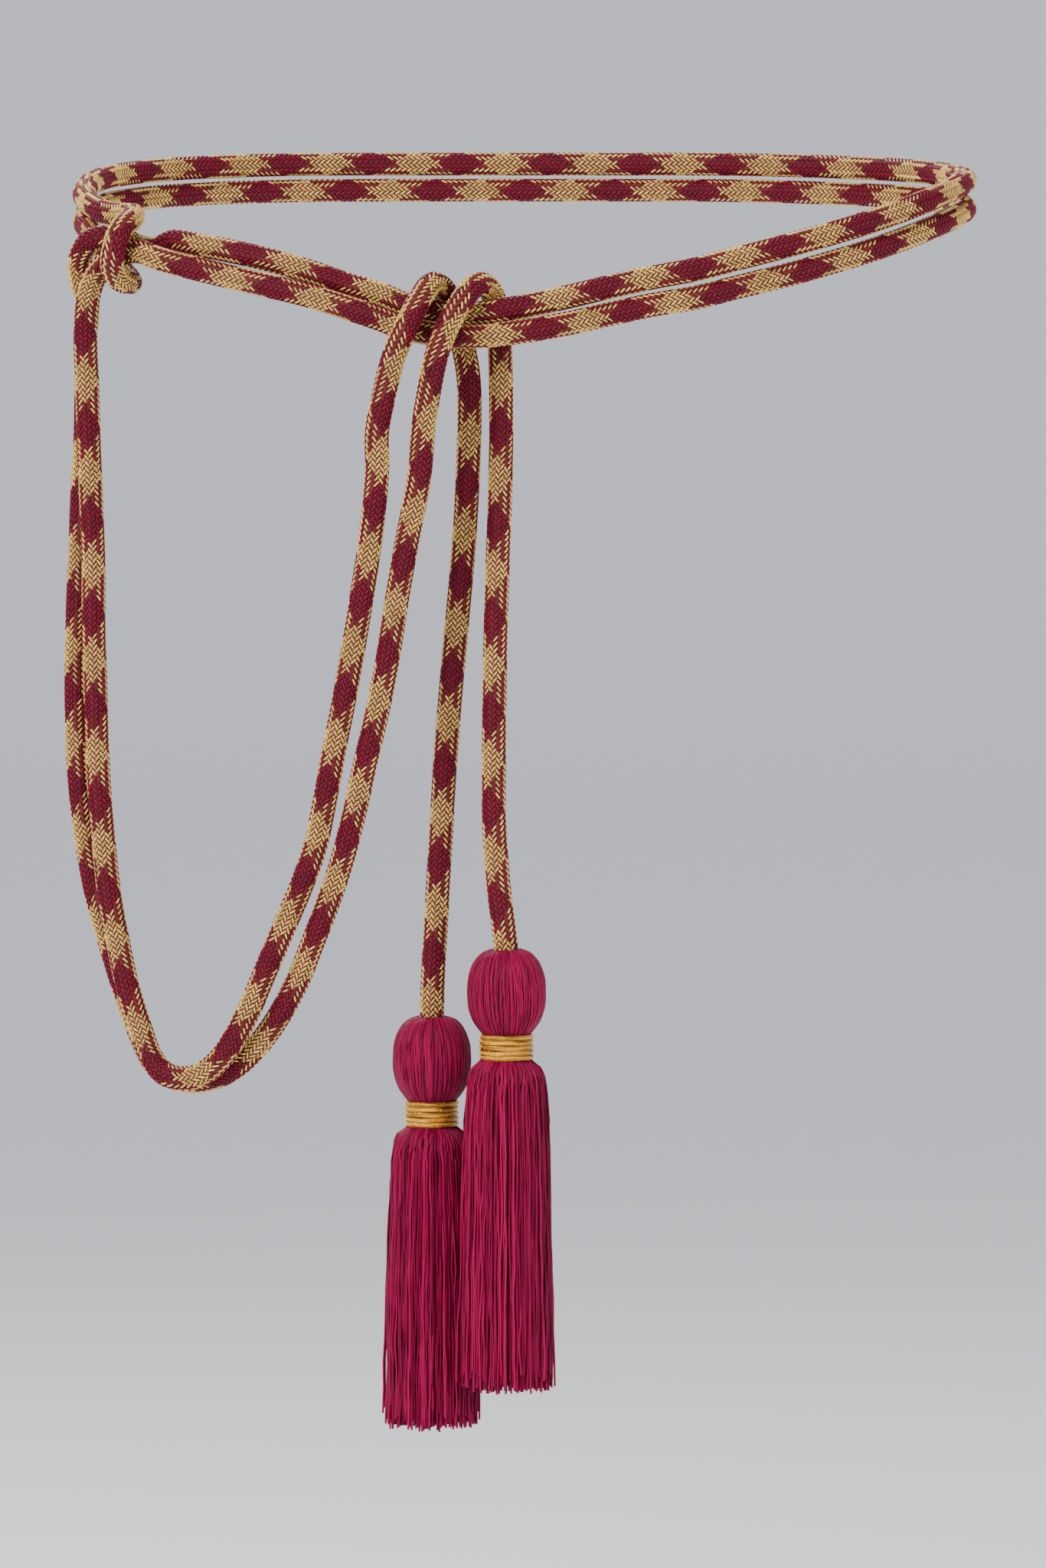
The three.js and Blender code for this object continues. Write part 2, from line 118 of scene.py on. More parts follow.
# Turn from one skirt thread to the next, and how far skirt and head threads stray from their
# even places (radians)
GOLDEN_ANGLE = math.pi * (3 - math.sqrt(5))
SKIRT_JITTER = 0.05
HEAD_JITTER = 0.025

# Skirts: the locks that the threads gather in: how many there are round the skirt, how they
# drift on the way down, and how tight they are (radians)
SKIRT_LOCKS = ((13, 1.5, 0.016), (31, -3.0, 0.010))

# Heads: how far their threads slant (radians), the share of the way down where they cross their
# own place, how wide they are drawn beyond their room, and their greatest width (threads)
HEAD_SLANT = 0.34
SLANT_CENTRE = 0.4
EXTRA_WIDTH = 0.3
MOST_WIDTH = 1.2

# Heads: how far down inside the skirt the filling's neck and its tip reach (shares of the
# tassel's length), and the tip's radius (m)
FILLING_FOOT = 0.5
FILLING_TIP = 0.6
TIP_RADIUS = 0.0001

# Length of one kink of a crimped thread (m), its part in the thread's relief, and how far a
# thread's pattern may be shifted along it (m)
CRIMP_LENGTH = 0.0036
CRIMP_RELIEF = 0.3
PATTERN_SHIFT = 0.05

# Noise: sways from a thread's top to its foot, and how far apart two threads lie in the noise
# that sways, streaks or crimps them
SKIRT_SWAYS = 9.0
HEAD_SWAYS = 4.0
SWAYS_APART = 97.0
CUTS_APART = 31.0
STREAKS_APART = 57.0
CRIMPS_APART = 47.0
HALVES = (0.5, 0.5, 0.5)

# Painted streaks of light and shade across a thread's section and along each metre of it, how
# much brighter the lightest is than the darkest, and the darkest's brightness
STREAKS_ROUND = 3.2
STREAKS_ALONG = 34.0
STREAK_CONTRAST = 1.3
STREAK_SHADE = 0.4

# Yarn below the braid and inside the heads: grains in each metre, and how dark the filling is
# painted, as painted shade inside the heads
GRAIN_SCALE = 900.0
FILLING_PAINTED_SHADE = 0.7

# Bindings: bands that the gold thread is wound in, painted glints and painted shade along it
# (changes in each metre), how much they change, and how dark they start
BINDING_BANDS = 5
GLINTS = 60.0
GLINT_CONTRAST = 3.4
GLINT_DEPTH = 1.75

# Stage: the bend between floor and wall, the wall's height (m), and the steps round the bend
BOWL_BEND = 3.0
BOWL_WALL = 4.5
BOWL_STEPS = 10

# Lights: name, place and width (m), and share of the main light's power
LIGHTS = (
    ("Main light", (-2.3, -3.0, 2.3), 2.2, 1.0),
    ("Side light", (3.2, -2.4, 0.8), 2.6, 0.32),
    ("Back light", (-1.0, 3.4, 2.2), 2.4, 0.45),
)

# Where the camera stands sideways, and where it looks, near the middle of the object (m)
CAMERA_SIDE = -0.025
CAMERA_AIM = (-0.0006, 0.0, -0.2211)

# Hip knot: degrees round the waist from the middle of the front, and height
HIP_TURN = -54
HIP_RISE = -0.0188

# Hitch at the middle of the front, and the tails' lower ends inside the tassels
HITCH_PLACE = Vector((-0.020, -0.129, -0.0465))
LEFT_TAIL_END = (-0.0346, -0.1175, -0.310)
RIGHT_TAIL_END = (-0.0074, -0.1345, -0.284)

# Doubled loop round the waist, from the hip over the front: turn (degrees), rise (m) of the pair's
# middle, roll (degrees) that the lower strand swings outwards, distance from the cloth and
# between strands (diameters)
BELT_FRONT = [
    (-43.5, -0.0208, 40, 0.80, 1.06),
    (-37.5, -0.0234, 30, 0.66, 1.06),
    (-31, -0.0266, 26, 0.60, 1.06),
    (-25, -0.0302, 36, 0.64, 1.08),
    (-20, -0.0342, 44, 0.78, 1.14),
    (-15, -0.0384, 40, 1.06, 1.17),
    (-11, -0.0426, 40, 1.54, 1.13),
    (-7, -0.0448, 38, 1.78, 1.05),
    (-3.5, -0.0449, 36, 1.80, 1.05),
    (-0.5, -0.0432, 28, 1.62, 1.05),
    (3, -0.0401, 16, 1.06, 1.05),
    (7, -0.0369, 4, 0.62, 1.04),
]

# The rest of the loop, flat against the cloth: turn, rise and distance between strands
BELT_REST = [
    (12, -0.0335, 1.05),
    (18, -0.0304, 1.08),
    (24, -0.0265, 1.10),
    (31, -0.0224, 1.12),
    (38, -0.0184, 1.12),
    (46, -0.0141, 1.12),
    (54, -0.01, 1.12),
    (63, -0.0059, 1.12),
    (72, -0.0026, 1.12),
    (81, -0.0006, 1.10),
    (90, 0.0005, 1.08),
    (101, 0.0016, 1.06),
    (112, 0.0025, 1.06),
    (123, 0.0033, 1.06),
    (135, 0.004, 1.06),
    (146, 0.0046, 1.06),
    (158, 0.005, 1.06),
    (169, 0.005, 1.06),
    (180, 0.005, 1.06),
    (191, 0.005, 1.06),
    (202, 0.005, 1.06),
    (213, 0.0047, 1.06),
    (225, 0.004, 1.06),
    (237, 0.0029, 1.06),
    (248, 0.0015, 1.06),
    (257, -0.0001, 1.06),
    (265, -0.002, 1.06),
]
BELT = BELT_FRONT + [(turn, rise, 0, 0.50, gap) for turn, rise, gap in BELT_REST]

# Hip knot, in cord diameters from its middle: along the waist towards the front, up, and out
# from the cloth. Upper strand, lower strand, and the bight that both leave through
KNOT_UPPER = [
    (1.3, 0.32, 0.50),
    (0.45, 0.06, 0.46),
    (-0.3, 0.04, 0.60),
    (-0.95, 0.34, 1.06),
    (-1.6, 0.46, 1.62),
    (-2.2, 0.10, 1.92),
    (-2.6, -0.52, 1.95),
    (-2.72, -1.25, 1.82),
    (-2.7, -2.05, 1.55),
]
KNOT_LOWER = [
    (1.3, -0.32, 1.46),
    (0.45, -0.06, 1.56),
    (-0.25, -0.15, 1.70),
    (-0.85, -0.46, 1.86),
    (-1.35, -0.92, 1.98),
    (-1.68, -1.52, 2.06),
    (-1.85, -2.2, 2.10),
]
KNOT_BIGHT = [
    (-7.0, 1.95, 0.50),
    (-5.2, 1.66, 0.48),
    (-3.7, 1.42, 0.46),
    (-2.5, 1.30, 0.42),
    (-1.65, 1.31, 0.44),
    (-1.0, 1.31, 0.60),
    (-0.45, 1.25, 1.00),
    (-0.05, 1.11, 1.52),
    (0.2, 0.92, 2.10),
    (0.32, 0.52, 2.56),
    (0.3, 0.0, 2.72),
    (0.12, -0.56, 2.60),
    (-0.06, -1.04, 2.18),
    (-0.24, -1.24, 1.60),
    (-0.56, -1.28, 1.06),
    (-1.1, -1.18, 0.68),
    (-1.85, -0.88, 0.48),
    (-2.8, -0.40, 0.44),
    (-3.9, 0.10, 0.46),
    (-5.2, 0.56, 0.48),
    (-7.0, 0.89, 0.50),
]

# Doubled drape: middle of the pair (m), distance between its strands (diameters), and degrees
# that the inner strand is turned to the front of the outer one
DRAPE = [
    (-0.1622, -0.0645, -0.052, 1.05, 88),
    (-0.1618, -0.065, -0.068, 1.05, 86),
    (-0.1617, -0.0655, -0.085, 1.05, 82),
    (-0.1619, -0.067, -0.11, 1.05, 69),
    (-0.1619, -0.0695, -0.134, 1.05, 57),
    (-0.1623, -0.072, -0.159, 1.05, 50),
    (-0.162, -0.075, -0.184, 1.05, 42),
    (-0.1612, -0.079, -0.208, 1.05, 42),
    (-0.1589, -0.0835, -0.233, 1.05, 48),
    (-0.1552, -0.089, -0.257, 1.05, 60),
    (-0.1513, -0.093, -0.273, 1.05, 70),
    (-0.147, -0.097, -0.289, 1.05, 78),
    (-0.1415, -0.101, -0.305, 1.05, 82),
    (-0.1366, -0.105, -0.3155, 1.05, 84),
    (-0.1295, -0.109, -0.321, 1.05, 84),
    (-0.119, -0.113, -0.321, 1.06, 72),
    (-0.1085, -0.117, -0.3145, 1.08, 50),
    (-0.0983, -0.121, -0.3005, 1.14, 22),
    (-0.0896, -0.125, -0.283, 1.28, 6),
    (-0.0831, -0.1285, -0.267, 1.25, 0),
    (-0.0771, -0.1315, -0.252, 1.18, 0),
    (-0.0716, -0.134, -0.2355, 1.14, 0),
    (-0.0678, -0.136, -0.219, 1.20, 0),
    (-0.0642, -0.138, -0.201, 1.27, 0),
    (-0.0605, -0.1395, -0.184, 1.33, 0),
    (-0.0569, -0.141, -0.165, 1.36, 0),
    (-0.0532, -0.1422, -0.142, 1.34, 0),
    (-0.0498, -0.1432, -0.121, 1.40, 0),
    (-0.0466, -0.1438, -0.0985, 1.62, 0),
]

# Hitch, in cord diameters from its place: right, forward and up. Inner and outer strand
HITCH_INNER = [
    (-3.6, 1.60, -3.84),
    (-3.3, 1.60, -2.32),
    (-2.94, 1.66, -0.95),
    (-2.48, 1.58, 0.12),
    (-2.02, 1.14, 1.04),
    (-1.52, 0.20, 1.70),
    (-1.04, -0.72, 1.42),
    (-0.66, -1.14, 0.54),
    (-0.34, -1.14, -0.64),
    (-0.12, -1.18, -1.9),
]
HITCH_OUTER = [
    (-1.85, 1.60, -3.84),
    (-1.64, 1.62, -2.42),
    (-1.36, 1.70, -1.05),
    (-0.94, 1.60, 0.08),
    (-0.4, 1.16, 1.04),
    (0.2, 0.24, 1.70),
    (0.72, -0.72, 1.44),
    (0.98, -1.10, 0.46),
    (1.08, -1.12, -0.70),
    (1.12, -1.08, -1.9),
]

# Straight tails below the hitch (m)
LEFT_TAIL = [
    (-0.0208, -0.1176, -0.08),
    (-0.0214, -0.1174, -0.1),
    (-0.0228, -0.1173, -0.125),
    (-0.025, -0.1172, -0.15),
    (-0.0274, -0.1172, -0.176),
    (-0.0296, -0.1173, -0.204),
    (-0.0314, -0.1174, -0.234),
    (-0.033, -0.1175, -0.262),
    (-0.0342, -0.1175, -0.284),
    (-0.0346, -0.1175, -0.298),
]
RIGHT_TAIL = [
    (-0.0092, -0.1198, -0.082),
    (-0.0096, -0.1212, -0.104),
    (-0.0105, -0.1232, -0.13),
    (-0.0114, -0.1256, -0.16),
    (-0.0119, -0.1284, -0.194),
    (-0.0119, -0.131, -0.224),
    (-0.0104, -0.1332, -0.248),
    (-0.0084, -0.1344, -0.264),
    (-0.0075, -0.1345, -0.274),
]

# Rows of the head's outline: shares of its height down from the top, and of its radius
HEAD_PROFILE = [
    (0.00, 0.40),
    (0.04, 0.62),
    (0.13, 0.81),
    (0.28, 0.945),
    (0.46, 1.00),
    (0.66, 0.985),
    (0.84, 0.88),
    (0.96, 0.71),
    (1.06, 0.54),
]

# Where the braid's chain of full diamonds faces: stretch of the cord, share of that stretch,
# and degrees that the chain is turned from the outward side there
CHAIN_TURNS = [
    ("left tail", 0.1, -10),
    ("left tail", 0.9, 0),
    ("inner drape", 0.1, 20),
    ("inner drape", 0.9, 0),
    ("lower loop", 0.1, 14),
    ("lower loop", 0.9, 0),
    ("upper loop", 0.1, -10),
    ("upper loop", 0.9, 32),
    ("outer drape", 0.1, 65),
    ("outer drape", 0.9, -15),
    ("right tail", 0.1, 30),
    ("right tail", 0.9, 38),
]

UP = Vector((0, 0, 1))
FRONT = Vector((0, -1, 0))


def signed_power(value, power):
    """A value raised to a power, with its sign kept."""
    return math.copysign(abs(value) ** power, value)


def out_of_waist(point):
    """The level way out of the cloth at a point of the waist."""
    power = WAIST_SQUARENESS - 1
    return Vector((
        signed_power(point.x, power) / WAIST_HALF_WIDTH ** WAIST_SQUARENESS,
        signed_power(point.y, power) / WAIST_HALF_DEPTH ** WAIST_SQUARENESS,
        0,
    )).normalized()


def waist(turn):
    """The waist line's point at a turn in degrees, and the way out of the cloth there."""
    angle = math.radians(turn)
    share = 2 / WAIST_SQUARENESS
    point = Vector((
        WAIST_HALF_WIDTH * signed_power(math.sin(angle), share),
        -WAIST_HALF_DEPTH * signed_power(math.cos(angle), share),
        0,
    ))
    return point, out_of_waist(point)


def off_waist(turn, rise, out):
    """A point off the waist line: rise in metres, out in diameters from the cloth."""
    point, outward = waist(turn)
    return point + UP * rise + outward * (out - 0.5) * CORD_DIAMETER


def loop_strand(side):
    """The upper (1) or lower (-1) strand of the loop, from the hip round the front."""
    points = []
    for turn, rise, roll, out, gap in BELT:
        outward = waist(turn)[1]
        half = side * gap * CORD_DIAMETER / 2
        roll = math.radians(roll)
        lean = UP * math.cos(roll) - outward * math.sin(roll)
        points.append(off_waist(turn, rise, out) + lean * half)
    return points


def knot_strand(rows):
    """One strand of the hip knot."""
    step = (waist(HIP_TURN + 0.5)[0] - waist(HIP_TURN - 0.5)[0]).length
    return [
        off_waist(
            HIP_TURN + along * CORD_DIAMETER / step, HIP_RISE + up * CORD_DIAMETER, out
        )
        for along, up, out in rows
    ]


def hitch_strand(rows):
    """One strand of the hitch."""
    return [
        HITCH_PLACE + Vector((right, -forward, up)) * CORD_DIAMETER
        for right, forward, up in rows
    ]


def drape_strand(side):
    """The inner (1) or outer (-1) strand of the drape, from the hip down and up again."""
    middles = [Vector(row[:3]) for row in DRAPE]
    points = []
    for i, (_, _, _, gap, lean) in enumerate(DRAPE):
        before = middles[max(i - 1, 0)]
        after = middles[min(i + 1, len(middles) - 1)]
        along = (after - before).normalized()
        front = (FRONT - along * FRONT.dot(along)).normalized()
        inward = front.cross(along)
        lean = math.radians(lean)
        half = side * gap * CORD_DIAMETER / 2
        points.append(middles[i] + (inward * math.cos(lean) + front * math.sin(lean)) * half)
    return points


def cord_stretches():
    """The cord's route as named stretches, from the left tassel to the right one."""
    return [
        ("left tail", [Vector(p) for p in [LEFT_TAIL_END, *reversed(LEFT_TAIL)]]),
        ("inner hitch", hitch_strand(HITCH_INNER)[::-1]),
        ("inner drape", drape_strand(1)[::-1]),
        ("lower knot", knot_strand(KNOT_LOWER)[::-1]),
        ("lower loop", loop_strand(-1)),
        ("bight", knot_strand(KNOT_BIGHT)[::-1]),
        ("upper loop", loop_strand(1)[::-1]),
        ("upper knot", knot_strand(KNOT_UPPER)),
        ("outer drape", drape_strand(-1)),
        ("outer hitch", hitch_strand(HITCH_OUTER)),
        ("right tail", [Vector(p) for p in [*RIGHT_TAIL, RIGHT_TAIL_END]]),
    ]


def smooth_line(points, steps):
    """A centripetal Catmull-Rom curve through the points, with steps pieces to each span."""
    ends = [points[0] * 2 - points[1], *points, points[-1] * 2 - points[-2]]
    line = []
    for i in range(len(points) - 1):
        a, b, c, d = ends[i:i + 4]
        before, here, after = (math.sqrt((q - p).length) for p, q in ((a, b), (b, c), (c, d)))
        leave = ((b - a) / before - (c - a) / (before + here) + (c - b) / here) * here
        arrive = ((c - b) / here - (d - b) / (here + after) + (d - c) / after) * here
        for step in range(steps):
            t = step / steps
            line.append(
                b * (2 * t ** 3 - 3 * t ** 2 + 1) + c * (3 * t ** 2 - 2 * t ** 3)
                + leave * (t ** 3 - 2 * t ** 2 + t) + arrive * (t ** 3 - t ** 2)
            )
    return [*line, points[-1].copy()]


class CordRoute:
    """The cord's centreline with, at each point, how far along it is and how the braid lies."""

    STEPS = 8

    def __init__(self):
        stretches = cord_stretches()
        control = [p for _, points in stretches for p in points]
        self.points = smooth_line(control, self.STEPS)
        self.along = [0.0]
        for a, b in zip(self.points, self.points[1:]):
            self.along.append(self.along[-1] + (b - a).length)
        self.length = self.along[-1]
        self.spans = {}
        first = 0
        for name, points in stretches:
            last = first + len(points) - 1
            self.spans[name] = (first * self.STEPS, last * self.STEPS)
            first = last + 1
        final = len(self.points) - 1
        self.tangents = [
            (self.points[min(i + 1, final)] - self.points[max(i - 1, 0)]).normalized()
            for i in range(len(self.points))
        ]
        self.facing = self.turned_facing()

    def carried_facing(self):
        """A side of the cord carried along it without any twist."""
        side = FRONT
        carried = []
        for tangent in self.tangents:
            side = (side - tangent * side.dot(tangent)).normalized()
            carried.append(side)
        return carried

    def outward(self, index):
        """The way that shows at a point: out of the waist on the loop, to the front elsewhere."""
        point, tangent = self.points[index], self.tangents[index]
        first, last = self.spans["lower loop"][0], self.spans["upper loop"][1]
        out = out_of_waist(point) if first <= index <= last else FRONT
        return (out - tangent * out.dot(tangent)).normalized()

    def turned_facing(self):
        """The side that the chain of full diamonds faces, twisted evenly between its marks."""
        carried = self.carried_facing()
        marks = []
        for name, share, degrees in CHAIN_TURNS:
            first, last = self.spans[name]
            index = round(first + (last - first) * share)
            tangent, side = self.tangents[index], carried[index]
            out = self.outward(index)
            angle = math.atan2(tangent.dot(side.cross(out)), side.dot(out)) + math.radians(degrees)
            if marks:
                angle += round((marks[-1][1] - angle) / math.tau) * math.tau
            marks.append((self.along[index], angle))
        facing = []
        for place, tangent, side in zip(self.along, self.tangents, carried):
            angle = between(place, marks)
            facing.append(side * math.cos(angle) + tangent.cross(side) * math.sin(angle))
        return facing

    def at(self, place):
        """Point and facing at a distance along the cord."""
        low, high = 0, len(self.along) - 1
        while high - low > 1:
            middle = (low + high) // 2
            if self.along[middle] <= place:
                low = middle
            else:
                high = middle
        share = (place - self.along[low]) / (self.along[high] - self.along[low])
        point = self.points[low].lerp(self.points[high], share)
        facing = self.facing[low].lerp(self.facing[high], share)
        tangent = (self.points[high] - self.points[low]).normalized()
        facing = (facing - tangent * facing.dot(tangent)).normalized()
        return point, facing, tangent.cross(facing)


def between(place, rows):
    """Value at a place, straight between rows of place and value and level past them."""
    if place <= rows[0][0]:
        return rows[0][1]
    for (low, start), (high, end) in zip(rows, rows[1:]):
        if place <= high:
            return start + (end - start) * (place - low) / (high - low)
    return rows[-1][1]


ROUTE = CordRoute()


def linear(red, green, blue):
    """A colour of 0 to 255 as linear light."""
    return tuple(
        v / 255 / 12.92 if v <= 10 else ((v / 255 + 0.055) / 1.055) ** 2.4
        for v in (red, green, blue)
    )


class TasselPlace:
    """A tassel's heights from the CAD: its head's top middle, and how far down the rest lies."""

    def __init__(self, side):
        low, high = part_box(f"tassel_{side}")
        ring_low, ring_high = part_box(f"binding_{side}")
        self.top = Vector((
            (ring_low[0] + ring_high[0]) / 2, (ring_low[1] + ring_high[1]) / 2, high[2],
        ))
        self.binding_top = high[2] - ring_high[2]
        self.binding_foot = high[2] - ring_low[2]
        self.length = high[2] - low[2]


TASSELS = {side: TasselPlace(side) for side in SIDES}


# Settings


def size(name, description, default):
    """A length in metres that a user can set."""
    return FloatProperty(
        name=name, description=description, default=default, min=0, unit="LENGTH", precision=5
    )


def colour(name, description, default):
    """A colour that a user can set."""
    return FloatVectorProperty(
        name=name, description=description, default=default, size=3, min=0, max=1, subtype="COLOR"
    )


def count(name, description, default):
    """A whole number that a user can set."""
    return IntProperty(name=name, description=description, default=default, min=1)


class CinctureCord(bpy.types.PropertyGroup):
    """Braided cord."""

    diameter: size("Diameter", "Across the braid", CORD_DIAMETER)
    lead: size("Lead", "Length in which a yarn goes once round the cord", 0.0345)
    carriers: count("Carriers", "Yarns wound each way", 16)
    yarn_thickness: size("Yarn thickness", "Height of a yarn where it crosses", 0.0009)
    gold: colour("Gold", "Gold yarn", linear(246, 202, 112))
    burgundy: colour("Burgundy", "Burgundy yarn", linear(114, 0, 33))


class CinctureTassel(bpy.types.PropertyGroup):
    """Tassels."""

    head_radius: size("Head radius", "Half the width of the round head", 0.0144)
    neck_radius: size("Neck radius", "Yarn inside the binding", 0.0081)
    skirt_radius: size("Skirt radius", "Half the width of the hanging threads", 0.0149)
    shoulder: size("Shoulder", "Drop in which the skirt swells out of its neck", 0.0020)
    thread: size("Thread", "Width of one thread", 0.00080)
    head_threads: count("Head threads", "Threads drawn down over the head", 200)
    outer_threads: count("Outer threads", "Skirt threads that show", 450)
    inner_threads: count("Inner threads", "Skirt threads behind them", 420)
    crimson: colour("Crimson", "Tassel thread", linear(130, 0, 54))


class CinctureBinding(bpy.types.PropertyGroup):
    """Gold binding round each neck."""

    turns: count("Turns", "Rounds of gold thread", 22)
    thread: size("Thread", "Thickness of the gold thread", 0.00075)
    radius: size("Radius", "From the middle to the thread's own middle", 0.0087)
    gold: colour("Gold", "Metallic thread", linear(236, 170, 62))


class CinctureStage(bpy.types.PropertyGroup):
    """Floor, lights and camera."""

    floor_height: FloatProperty(
        name="Floor", description="Height of the floor", default=-1.02, unit="LENGTH"
    )
    bowl_radius: size("Bowl radius", "From the middle to the pale wall", 14.0)
    pale: colour("Pale", "Floor and wall", linear(246, 246, 248))
    camera_distance: size("Camera distance", "From the waist to the camera", 4.0)
    camera_height: size("Camera height", "Camera above the waist", 0.06)
    view_width: size("View width", "Width that the picture takes in", 0.392)
    light: FloatProperty(
        name="Light", description="Power of the main light", default=215, unit="POWER"
    )


# Node helpers


class Value:
    """A value in a node tree. A sum written with it becomes a node."""

    def __init__(self, socket):
        self.socket = socket
        self.tree = socket.id_data
        self.is_vector = socket.type in ("VECTOR", "RGBA")

    def sum(self, operation, *items):
        """The result of an operation on the items, in this value's tree and kind."""
        kind = "ShaderNodeVectorMath" if self.is_vector else "ShaderNodeMath"
        return made(self.tree, kind, dict(enumerate(items)), operation=operation)

    def maths(self, operation, *others):
        """The result of an operation on this value and others."""
        return self.sum(operation, self, *others)

    def __add__(self, other):
        return self.maths("ADD", other)

    def __sub__(self, other):
        return self.maths("SUBTRACT", other)

    def __rsub__(self, other):
        return self.sum("SUBTRACT", other, self)

    def __mul__(self, other):
        if self.is_vector:
            inputs = {0: self, "Scale": other}
            return made(self.tree, "ShaderNodeVectorMath", inputs, operation="SCALE")
        return self.maths("MULTIPLY", other)

    def __truediv__(self, other):
        return self.maths("DIVIDE", other)

    def __pow__(self, other):
        return self.maths("POWER", other)

    def __mod__(self, other):
        return self.maths("FLOORED_MODULO", other)

    def parts(self):
        """The three values of a vector."""
        node = add(self.tree, "ShaderNodeSeparateXYZ", {0: self})
        return [Value(s) for s in node.outputs]

    def to(self, socket):
        """Links the value to a node's input."""
        self.tree.links.new(self.socket, socket)


def add(tree, kind, inputs=None, **settings):
    """A node with its settings, and inputs, by place or name, linked or set to a value."""
    node = tree.nodes.new(kind)
    for name, value in settings.items():
        setattr(node, name, value)
    for key, value in (inputs or {}).items():
        if isinstance(key, int):
            socket = node.inputs[key]
        else:
            socket = next(s for s in node.inputs if s.name == key and s.enabled)
        if isinstance(value, Value):
            value.to(socket)
        else:
            socket.default_value = value
    return node


def made(tree, kind, inputs=None, **settings):
    """The first output in use of a new node."""
    node = add(tree, kind, inputs, **settings)
    return Value(next(s for s in node.outputs if s.enabled))


def joined(tree, x=0.0, y=0.0, z=0.0):
    """A vector from three values."""
    return made(tree, "ShaderNodeCombineXYZ", {0: x, 1: y, 2: z})


def noise(tree, place, scale=1.0, detail=2.0):
    """Noise at a place: one value, and three as a colour."""
    node = add(tree, "ShaderNodeTexNoise", {"Vector": place, "Scale": scale, "Detail": detail})
    return [Value(s) for s in node.outputs]


def group_inputs(tree):
    """A function that gives an input of a node group by its name."""
    node = tree.nodes.new("NodeGroupInput")
    return lambda name: Value(node.outputs[name])


def named(tree, name, kind="FLOAT"):
    """A named attribute of the geometry."""
    return made(tree, "GeometryNodeInputNamedAttribute", {"Name": name}, data_type=kind)


def stored(tree, geometry, name, value, kind="FLOAT", domain="POINT"):
    """The geometry with a value stored on it under a name."""
    inputs = {"Geometry": geometry, "Name": name, "Value": value}
    kinds = {"data_type": kind, "domain": domain}
    return made(tree, "GeometryNodeStoreNamedAttribute", inputs, **kinds)


def moved(tree, geometry, **place):
    """The geometry with its points put at a Position or pushed by an Offset."""
    return made(tree, "GeometryNodeSetPosition", {"Geometry": geometry, **place})


def jitter(tree, low, high, seed):
    """A random value for each item."""
    inputs = {"Min": low, "Max": high, "Seed": seed}
    return made(tree, "FunctionNodeRandomValue", inputs, data_type="FLOAT")


def placed(tree, dots, instance, **inputs):
    """An instance at each of the dots."""
    inputs = {"Points": dots, "Instance": instance, **inputs}
    return made(tree, "GeometryNodeInstanceOnPoints", inputs)


def real(tree, geometry):
    """The geometry with its instances made real."""
    return made(tree, "GeometryNodeRealizeInstances", {"Geometry": geometry})


def new_tree(name, sockets):
    """A geometry tree with inputs by kind, the function that gives them, and its output."""
    tree = bpy.data.node_groups.new(name, "GeometryNodeTree")
    tree.interface.new_socket("Geometry", in_out="OUTPUT", socket_type="NodeSocketGeometry")
    both = {"Geometry": ("Geometry",), "Material": ("Material",)}
    for kind, labels in {**both, **sockets}.items():
        for label in labels:
            tree.interface.new_socket(label, in_out="INPUT", socket_type=f"NodeSocket{kind}")
    return tree, group_inputs(tree), tree.nodes.new("NodeGroupOutput").inputs[0]


def finished(tree, geometry, material, end):
    """Ends a tree: smooth, real meshes with their material."""
    smooth = made(tree, "GeometryNodeSetShadeSmooth", {"Geometry": real(tree, geometry)})
    made(tree, "GeometryNodeSetMaterial", {"Geometry": smooth, "Material": material}).to(end)
    return tree


def linked_object(name, data):
    """A new object at the origin, in the scene."""
    thing = bpy.data.objects.new(name, data)
    bpy.context.scene.collection.objects.link(thing)
    return thing


def grown(name, guide, tree, values):
    """A plain mesh piece, grown by a geometry tree from a guide mesh."""
    thing = linked_object(name, guide)
    modifier = thing.modifiers.new("Growth", "NODES")
    modifier.node_group = tree
    for item in tree.interface.items_tree:
        if item.in_out == "INPUT" and item.name in values:
            modifier[item.identifier] = values[item.name]
    depsgraph = bpy.context.evaluated_depsgraph_get()
    mesh = bpy.data.meshes.new_from_object(
        thing.evaluated_get(depsgraph), preserve_all_data_layers=True, depsgraph=depsgraph
    )
    thing.modifiers.clear()
    thing.data = mesh
    mesh.name = name
    return thing


def line_mesh(name, points, vectors_by_name=None):
    """A mesh of one line through the points, with vectors stored on them."""
    mesh = bpy.data.meshes.new(name)
    edges = [(i, i + 1) for i in range(len(points) - 1)]
    mesh.from_pydata([tuple(p) for p in points], edges, [])
    for label, values in (vectors_by_name or {}).items():
        layer = mesh.attributes.new(label, "FLOAT_VECTOR", "POINT")
        layer.data.foreach_set("vector", [x for v in values for x in v])
    return mesh


def turned_mesh(name, rows, sides, middle, material, ends):
    """A turned mesh from rows of radius and height, with a face on the rows at the ends."""
    shape = bmesh.new()
    turns = [math.tau * i / sides for i in range(sides)]
    rings = [
        [
            shape.verts.new((
                middle[0] + radius * math.cos(a), middle[1] + radius * math.sin(a), height
            ))
            for a in turns
        ]
        for radius, height in rows
    ]
    for low, high in zip(rings, rings[1:]):
        for i in range(sides):
            j = (i + 1) % sides
            shape.faces.new((low[i], low[j], high[j], high[i]))
    for end in ends:
        shape.faces.new(rings[end])
    bmesh.ops.recalc_face_normals(shape, faces=shape.faces)
    mesh = bpy.data.meshes.new(name)
    shape.to_mesh(mesh)
    shape.free()
    mesh.shade_smooth()
    mesh.materials.append(material)
    return mesh


# Materials


